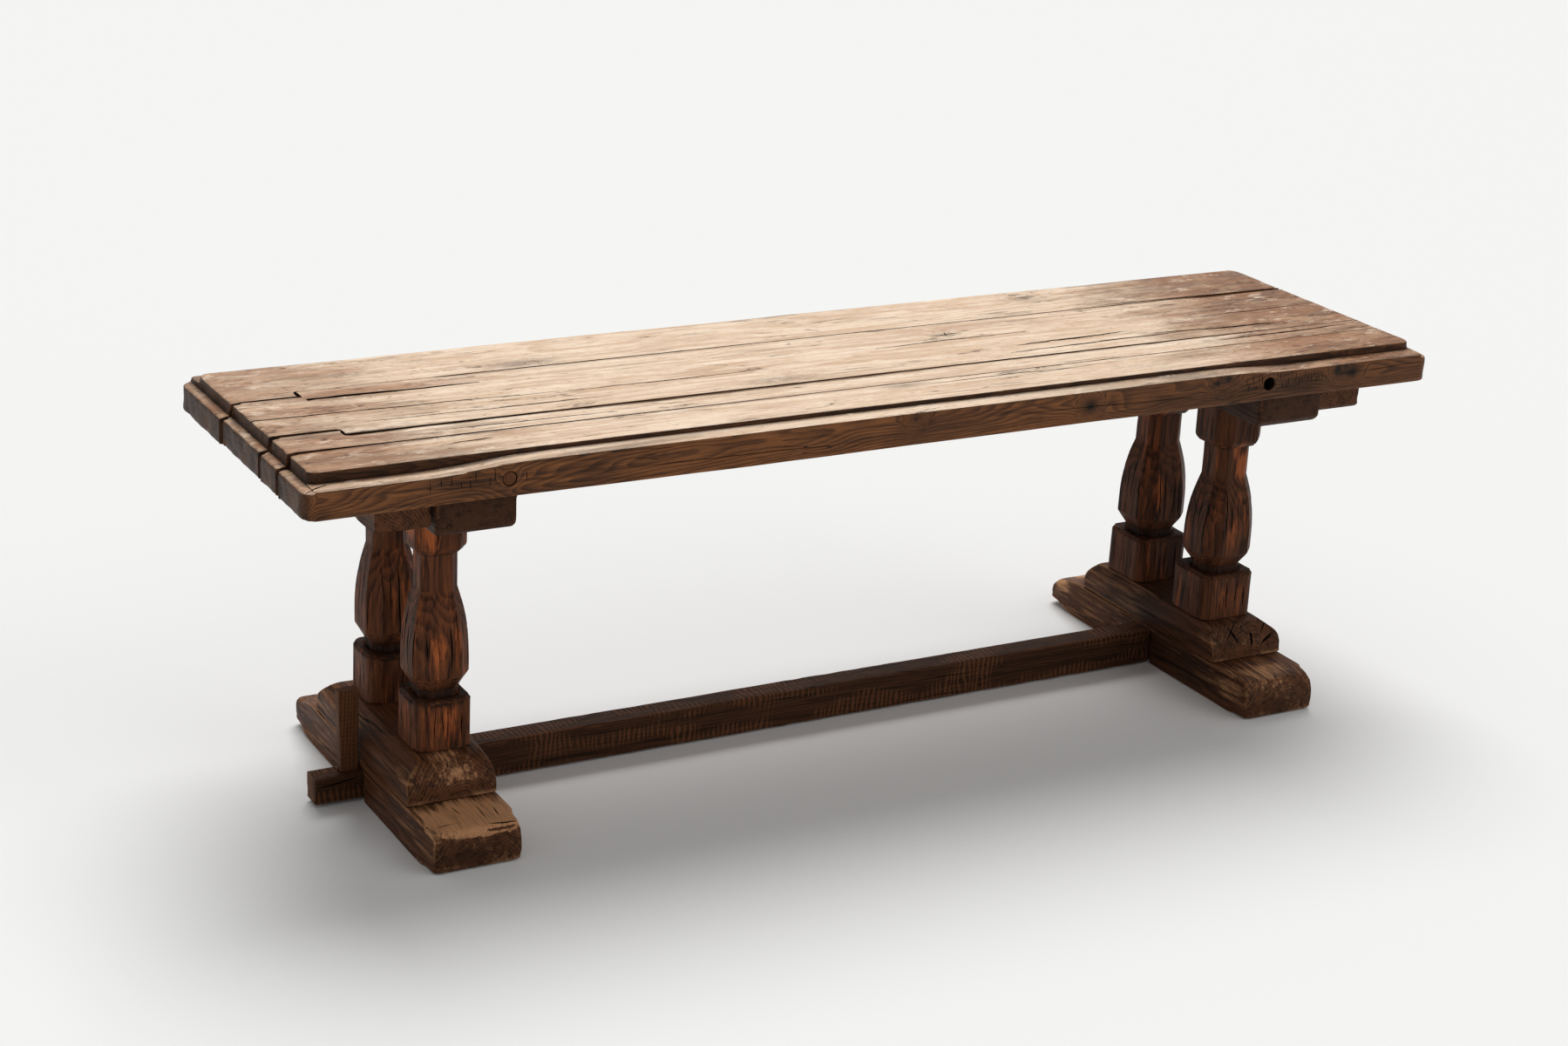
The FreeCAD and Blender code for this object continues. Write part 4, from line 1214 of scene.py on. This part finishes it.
# Height of the groove under a post's vase above its tenon's end, the reach of its dark band, and each side's
# posts' darkening
GROOVE_HEIGHT = 0.216
GROOVE_REACH = 0.014
POST_DARKENING = {"left": 0.0, "right": 0.30}


def lower_than(level):
    """A test for wear_arrises: whether a place lies lower than a level."""
    def lower(place):
        return place.z < level

    return lower


class TABLE_OT_bearers(bpy.types.Operator):
    """Wear the top rails of the trestles"""
    bl_idname = "table.bearers"
    bl_label = "Bearers"

    def execute(self, context):
        sizes = context.scene.table_sizes
        for seed, side in enumerate(SIDES, 40):
            node = f"{side}_bearer"
            low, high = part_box(node)
            work = crisp_copy(node, sizes.rail_step)
            wear_arrises(work, 4, lower_than(high.z - BEARER_SEAT))
            push_in(work, hewn(1, seed, 0.0016, 0.0014, 0.0008, sizes.chip_depth))
            cracks = []
            for view in SIDES:
                cracks += random_checks(view, (low, high), count=5, longest=0.3, width=0.0018, seed=seed)
            log = log_place(1, ((low.x + high.x) / 2 + 0.02, low.z - 0.01))
            dress(node, work, "rail_oak", "base", log, cracks, seed)
        return {"FINISHED"}


def post_cracks(low, high, seed):
    """Upright checks on all four sides of a post."""
    rng = random.Random(seed)
    cracks = []
    for view in ("front", "back", "left", "right"):
        first = VIEWS[view][1]
        middle = (low[first] + high[first]) / 2
        reach = CHECKED_SHARE * (high[first] - low[first]) / 2
        for bottom, top, count, width in POST_CHECKS.values():
            for number in range(count):
                x = middle + reach * (2 * (number + rng.uniform(0.15, 0.85)) / count - 1)
                start = low.z + bottom + (top - bottom) * rng.uniform(0.0, 0.35)
                end = low.z + bottom + (top - bottom) * rng.uniform(0.6, 1.0)
                cracks.append(Crack(view, (x, start), (x + rng.uniform(-0.004, 0.004), end),
                                    width * rng.uniform(0.5, 1.3), rng.uniform(0.005, 0.012), 0.003))
    return cracks


def groove_shade(groove, darkening):
    """A post painted darker all over by a share, and a dark band round the groove under its vase."""
    def shade(point, normal):
        return max(darkening, 0.8 * math.exp(-((point.z - groove) / GROOVE_REACH) ** 2))

    return shade


class TABLE_OT_posts(bpy.types.Operator):
    """Hew the four baluster posts"""
    bl_idname = "table.posts"
    bl_label = "Posts"

    def execute(self, context):
        sizes = context.scene.table_sizes
        for seed, (node, patches) in enumerate(POSTS.items(), 20):
            low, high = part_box(node)
            work = crisp_copy(node, sizes.post_step)
            push_in(work, hewn(2, seed, sizes.hew_depth, sizes.hew_depth * 0.5, 0.0008, sizes.chip_depth))
            rng = random.Random(seed)
            middle = (low + high) / 2
            pith = (middle.x + rng.uniform(-0.02, 0.02), middle.y + rng.uniform(0.0, 0.03))
            shade = groove_shade(low.z + GROOVE_HEIGHT, POST_DARKENING[node.split("_")[0]])
            dress(node, work, "hewn_oak", "base", log_place(2, pith),
                  post_cracks(low, high, seed), seed, patches=patches, shade=shade)
        return {"FINISHED"}


# Feet, stretcher and wedges

# The stains, worn patches and cracks of each foot
Foot = namedtuple("Foot", "stains patches cracks")
FEET = {
    "left_upper_foot": Foot(
        {"left": (((0.0, 0.115), (0.16, 0.05), 0.35),)},
        {"front": (((-0.875, 0.125), (0.055, 0.022), 0.60),),
         "above": (((-0.89, -0.195), (0.04, 0.03), 0.6),)},
        {"above": (((-0.938, -0.215), (-0.932, 0.10), 0.0030, 0.014, 0.003),
                   ((-0.850, -0.200), (-0.836, 0.02), 0.0026, 0.012, 0.004))}),
    "left_lower_foot": Foot(
        {"front": (((-0.90, 0.028), (0.085, 0.030), 0.62),)},
        {"above": (((-0.885, -0.31), (0.11, 0.075), 1.25), ((-0.89, 0.33), (0.08, 0.05), 0.8))},
        {"above": (((-0.870, -0.345), (-0.815, -0.352), 0.0036, 0.012, 0.005),
                   ((-0.900, -0.300), (-0.905, -0.262), 0.0022, 0.008, 0.003),
                   ((-0.865, -0.322), (-0.862, -0.275), 0.0022, 0.008, 0.003),
                   ((-0.838, -0.325), (-0.835, -0.290), 0.0022, 0.008, 0.003),
                   ((-0.965, -0.330), (-0.920, -0.326), 0.0022, 0.008, 0.004))}),
    "right_upper_foot": Foot(
        {"above": (((0.86, -0.05), (0.08, 0.22), 0.60),), "left": (((0.0, 0.11), (0.22, 0.05), 0.55),)},
        {"front": (((0.90, 0.115), (0.05, 0.02), 0.35),)},
        {"front": (((0.900, 0.102), (0.912, 0.142), 0.0060, 0.012, 0.004),
                   ((0.872, 0.112), (0.858, 0.142), 0.0044, 0.010, 0.003),
                   ((0.925, 0.104), (0.962, 0.122), 0.0050, 0.010, 0.003)),
         "above": (((0.900, -0.232), (0.918, -0.185), 0.0030, 0.012, 0.005),
                   ((0.935, -0.225), (0.965, -0.205), 0.0030, 0.010, 0.005),
                   ((0.845, -0.228), (0.880, -0.208), 0.0024, 0.010, 0.005)),
         "left": (((-0.225, 0.132), (0.235, 0.133), 0.0050, 0.005, 0.0015),)}),
    "right_lower_foot": Foot(
        {"front": (((0.90, 0.020), (0.085, 0.032), 0.50),), "left": (((-0.1, 0.05), (0.18, 0.05), 0.6),)},
        {"above": (((0.88, -0.31), (0.09, 0.06), 0.6), ((0.89, 0.33), (0.08, 0.05), 0.8)),
         "left": (((-0.30, 0.05), (0.06, 0.03), 0.6), ((0.32, 0.06), (0.05, 0.03), 0.8))},
        {"above": (((0.845, -0.330), (0.850, -0.270), 0.0022, 0.009, 0.003),
                   ((0.905, -0.320), (0.900, -0.255), 0.0020, 0.008, 0.003))}),
}
# How much of a foot's length counts as its end, and how often the ends of upper and lower feet are softened
FOOT_END = 0.06
UPPER_PASSES = 6
LOWER_PASSES = 45
# The lower feet's back ends: where the nose begins and ends on Y, how far its sole rises, and the share of
# its height that is lost
NOSE_START = 0.25
NOSE_END = 0.365
NOSE_RISE = 0.012
NOSE_LOSS = 0.38
# How far above the floor a foot's sole is drawn down to it
SOLE_REACH = 0.02
# The split in the stretcher's left tenon, and the depths of the wedges' saw ridges and worn arrises
TENON_SPLIT = Crack("front", (-1.07, 0.040), (-0.99, 0.050), 0.0036, 0.014, 0.003)
RIDGE_DEPTH = 0.0015
WEDGE_WEAR = 0.0012


def taper_nose(work):
    """Shape a lower foot's back end as a low nose that clears the floor."""
    for vert in work.verts:
        share = smooth_step(NOSE_START, NOSE_END, vert.co.y)
        vert.co.z = NOSE_RISE * share + vert.co.z * (1 - NOSE_LOSS * share)


def foot_depth(high, seed, wear):
    """Wear of a foot: rough all over, and more towards its two ends; its sole stays flat."""
    rough = hewn(1, seed, wear * 0.5, wear * 0.3, 0.0010, 0.0)

    def depth(point, normal, bend):
        end = smooth_step(0.55, 1.0, abs(point.y) / high.y)
        sinking = (rough(point, normal, bend) + 0.0015 * wave(point, (20, 8, 20), seed + 6)) * (1 + 0.8 * end)
        ragged = 0.0035 * wave(point, (45, 45, 45), seed + 4)
        ragged += 0.0015 * wave(point, (130, 130, 130), seed + 5)
        sinking += ragged * smooth_step(0.4, 0.9, abs(normal.y))
        return sinking * smooth_step(-0.9, -0.5, normal.z)

    return depth


def stand_on_floor(work):
    """Keep a worn foot's sole on the floor."""
    lowest = min(vert.co.z for vert in work.verts)
    for vert in work.verts:
        vert.co.z -= lowest * (1 - smooth_step(0.0, SOLE_REACH, vert.co.z - lowest))


class TABLE_OT_feet(bpy.types.Operator):
    """Wear the two timbers of each trestle's foot"""
    bl_idname = "table.feet"
    bl_label = "Feet"

    def execute(self, context):
        sizes = context.scene.table_sizes
        for seed, (node, foot) in enumerate(FEET.items(), 30):
            low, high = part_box(node)
            lower = "lower" in node
            work = soft_copy(node, sizes.foot_step)
            if lower:
                taper_nose(work)
            ends = [vert for vert in work.verts if abs(vert.co.y) > high.y - FOOT_END]
            soften(work, LOWER_PASSES if lower else UPPER_PASSES, ends)
            soften(work, 3, work.verts)
            push_in(work, foot_depth(high, seed, sizes.foot_wear))
            soften(work, 1, work.verts)
            if lower:
                stand_on_floor(work)
            cracks = table_cracks(foot.cracks)
            for view in SIDES:
                cracks += random_checks(view, (low, high), count=4, longest=0.25, width=0.0018, seed=seed)
            log = log_place(1, (((low + high) / 2).x + 0.015, low.z - 0.015))
            dress(node, work, "worn_oak", "base", log, cracks, seed, stains=foot.stains,
                  patches=foot.patches)
        return {"FINISHED"}


class TABLE_OT_stretcher(bpy.types.Operator):
    """Wear the sawn stretcher"""
    bl_idname = "table.stretcher"
    bl_label = "Stretcher"

    def execute(self, context):
        low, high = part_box("stretcher")
        work = crisp_copy("stretcher", context.scene.table_sizes.rail_step)
        push_in(work, hewn(0, 70, *HEWN_DEPTHS["stretcher"]))
        cracks = [TENON_SPLIT]
        for seed, view in enumerate(("front", "back"), 71):
            cracks += random_checks(view, (low, high), count=5, longest=0.5, width=0.0016, seed=seed)
        log = log_place(0, (0.03, low.z - 0.03), (), (0.004, 0.003))
        dress("stretcher", work, "sawn_oak", "base", log, cracks, 70)
        return {"FINISHED"}


def ridged(spacing, seed):
    """A depth for push_in: ridges of a saw across a wedge, and worn arrises."""
    def depth(point, normal, bend):
        turn = point.z / spacing + 1.6 * wave(point, (30, 30, 20), seed)
        ridge = abs(turn % 1.0 - 0.5) * 2
        sinking = RIDGE_DEPTH * ridge + WEDGE_WEAR * smooth_step(0.1, 0.4, bend)
        return sinking * smooth_step(0.5, 0.9, 1 - abs(normal.z))

    return depth


class TABLE_OT_wedges(bpy.types.Operator):
    """Wear the tusk wedges, ridged by the saw"""
    bl_idname = "table.wedges"
    bl_label = "Wedges"

    def execute(self, context):
        sizes = context.scene.table_sizes
        for seed, side in enumerate(SIDES, 80):
            node = f"{side}_wedge"
            work = crisp_copy(node, sizes.wedge_step)
            push_in(work, ridged(sizes.saw_spacing, seed))
            log = log_place(2, (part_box(node)[0].x - 0.03, 0.02))
            dress(node, work, "wedge_oak", f"{side}_wedge", log)
        return {"FINISHED"}


# Stage

FLOOR_REACH = 40.0
SENSOR_WIDTH = 36
# Where the soft lights shine from
KEY_SOURCE = (0.25, 0.50, 1.0)
SIDE_SOURCE = (0.75, -0.80, 0.55)


def add_floor(colours):
    tree, shader = new_material("studio_floor", 0.8, 0.2)
    fill_inputs(tree, shader, {"Base Color": colours.floor})
    work = bmesh.new()
    bmesh.ops.create_grid(work, x_segments=8, y_segments=8, size=FLOOR_REACH)
    floor = new_piece("studio_floor", work)
    floor.data.materials.append(bpy.data.materials["studio_floor"])


def add_soft_light(name, source, spread, strength):
    """A sun with a broad disc, which shines from a direction and casts soft shadows."""
    lamp = bpy.data.lights.new(name, "SUN")
    lamp.angle = spread
    lamp.energy = strength
    light = bpy.data.objects.new(name, lamp)
    light.rotation_euler = (-Vector(source)).to_track_quat("-Z", "Y").to_euler()
    bpy.context.scene.collection.objects.link(light)


def add_camera(stage):
    """A camera at the photograph's place, turn, tilt and lens."""
    forward = Vector((math.sin(stage.azimuth) * math.cos(stage.elevation),
                      math.cos(stage.azimuth) * math.cos(stage.elevation), -math.sin(stage.elevation)))
    level = Vector((math.cos(stage.azimuth), -math.sin(stage.azimuth), 0))
    down = forward.cross(level)
    right = math.cos(stage.roll) * level + math.sin(stage.roll) * down
    below = math.cos(stage.roll) * down - math.sin(stage.roll) * level
    lens = bpy.data.cameras.new("photo_camera")
    lens.sensor_fit = "HORIZONTAL"
    lens.sensor_width = SENSOR_WIDTH
    lens.lens = stage.lens
    camera = bpy.data.objects.new("photo_camera", lens)
    turn = Matrix((right, -below, -forward)).transposed()
    camera.matrix_world = Matrix.Translation(stage.camera_place) @ turn.to_4x4()
    bpy.context.scene.collection.objects.link(camera)
    bpy.context.scene.camera = camera


def add_world(strength, backdrop):
    """White light all round, and a plain backdrop for the camera."""
    world = bpy.data.worlds.new("soft_studio")
    world.use_nodes = True
    tree = world.node_tree
    around = tree.nodes["Background"]
    fill_inputs(tree, around, {"Color": (1.0, 1.0, 1.0, 1.0), "Strength": strength})
    seen = Node(tree, "ShaderNodeBackground", {"Color": backdrop, "Strength": 1.0})[0]
    path = Node(tree, "ShaderNodeLightPath")["Is Camera Ray"]
    both = Node(tree, "ShaderNodeMixShader", {0: path, 1: Signal(tree, around.outputs[0]), 2: seen})[0]
    fill_inputs(tree, tree.nodes["World Output"], {"Surface": both})
    bpy.context.scene.world = world


class TABLE_OT_stage(bpy.types.Operator):
    """Set the floor, the soft light and the camera"""
    bl_idname = "table.stage"
    bl_label = "Stage"

    def execute(self, context):
        scene = context.scene
        stage = scene.table_stage
        add_floor(scene.table_colours)
        add_world(stage.world_strength, scene.table_colours.backdrop)
        add_soft_light("key_light", KEY_SOURCE, stage.key_spread, stage.key_strength)
        add_soft_light("side_light", SIDE_SOURCE, stage.side_spread, stage.side_strength)
        add_camera(stage)
        scene.view_settings.view_transform = "Standard"
        return {"FINISHED"}


OPERATORS = (TABLE_OT_finishes, TABLE_OT_planks, TABLE_OT_dowels, TABLE_OT_cleats, TABLE_OT_bearers,
             TABLE_OT_posts, TABLE_OT_feet, TABLE_OT_stretcher, TABLE_OT_wedges, TABLE_OT_stage)


class TABLE_PT_looks(bpy.types.Panel):
    """The table's pieces, in the order in which they are made"""
    bl_label = "Refectory Table"
    bl_idname = "TABLE_PT_looks"
    bl_space_type = "VIEW_3D"
    bl_region_type = "UI"
    bl_category = "Refectory Table"

    def draw(self, context):
        for operator in OPERATORS:
            self.layout.operator(operator.bl_idname)
        for group in (context.scene.table_sizes, context.scene.table_colours, context.scene.table_stage):
            for name in group.__annotations__:
                self.layout.prop(group, name)


GROUPS = {"table_sizes": TimberSizes, "table_colours": TimberColours, "table_stage": StageSettings}
CLASSES = (*GROUPS.values(), *OPERATORS, TABLE_PT_looks)


def register():
    for item in CLASSES:
        bpy.utils.register_class(item)
    for name, group in GROUPS.items():
        setattr(bpy.types.Scene, name, PointerProperty(type=group))


def unregister():
    for name in GROUPS:
        delattr(bpy.types.Scene, name)
    for item in reversed(CLASSES):
        bpy.utils.unregister_class(item)


def main():
    register()
    for operator in OPERATORS:
        family, name = operator.bl_idname.split(".")
        getattr(getattr(bpy.ops, family), name)()


if __name__ == "__main__":
    main()
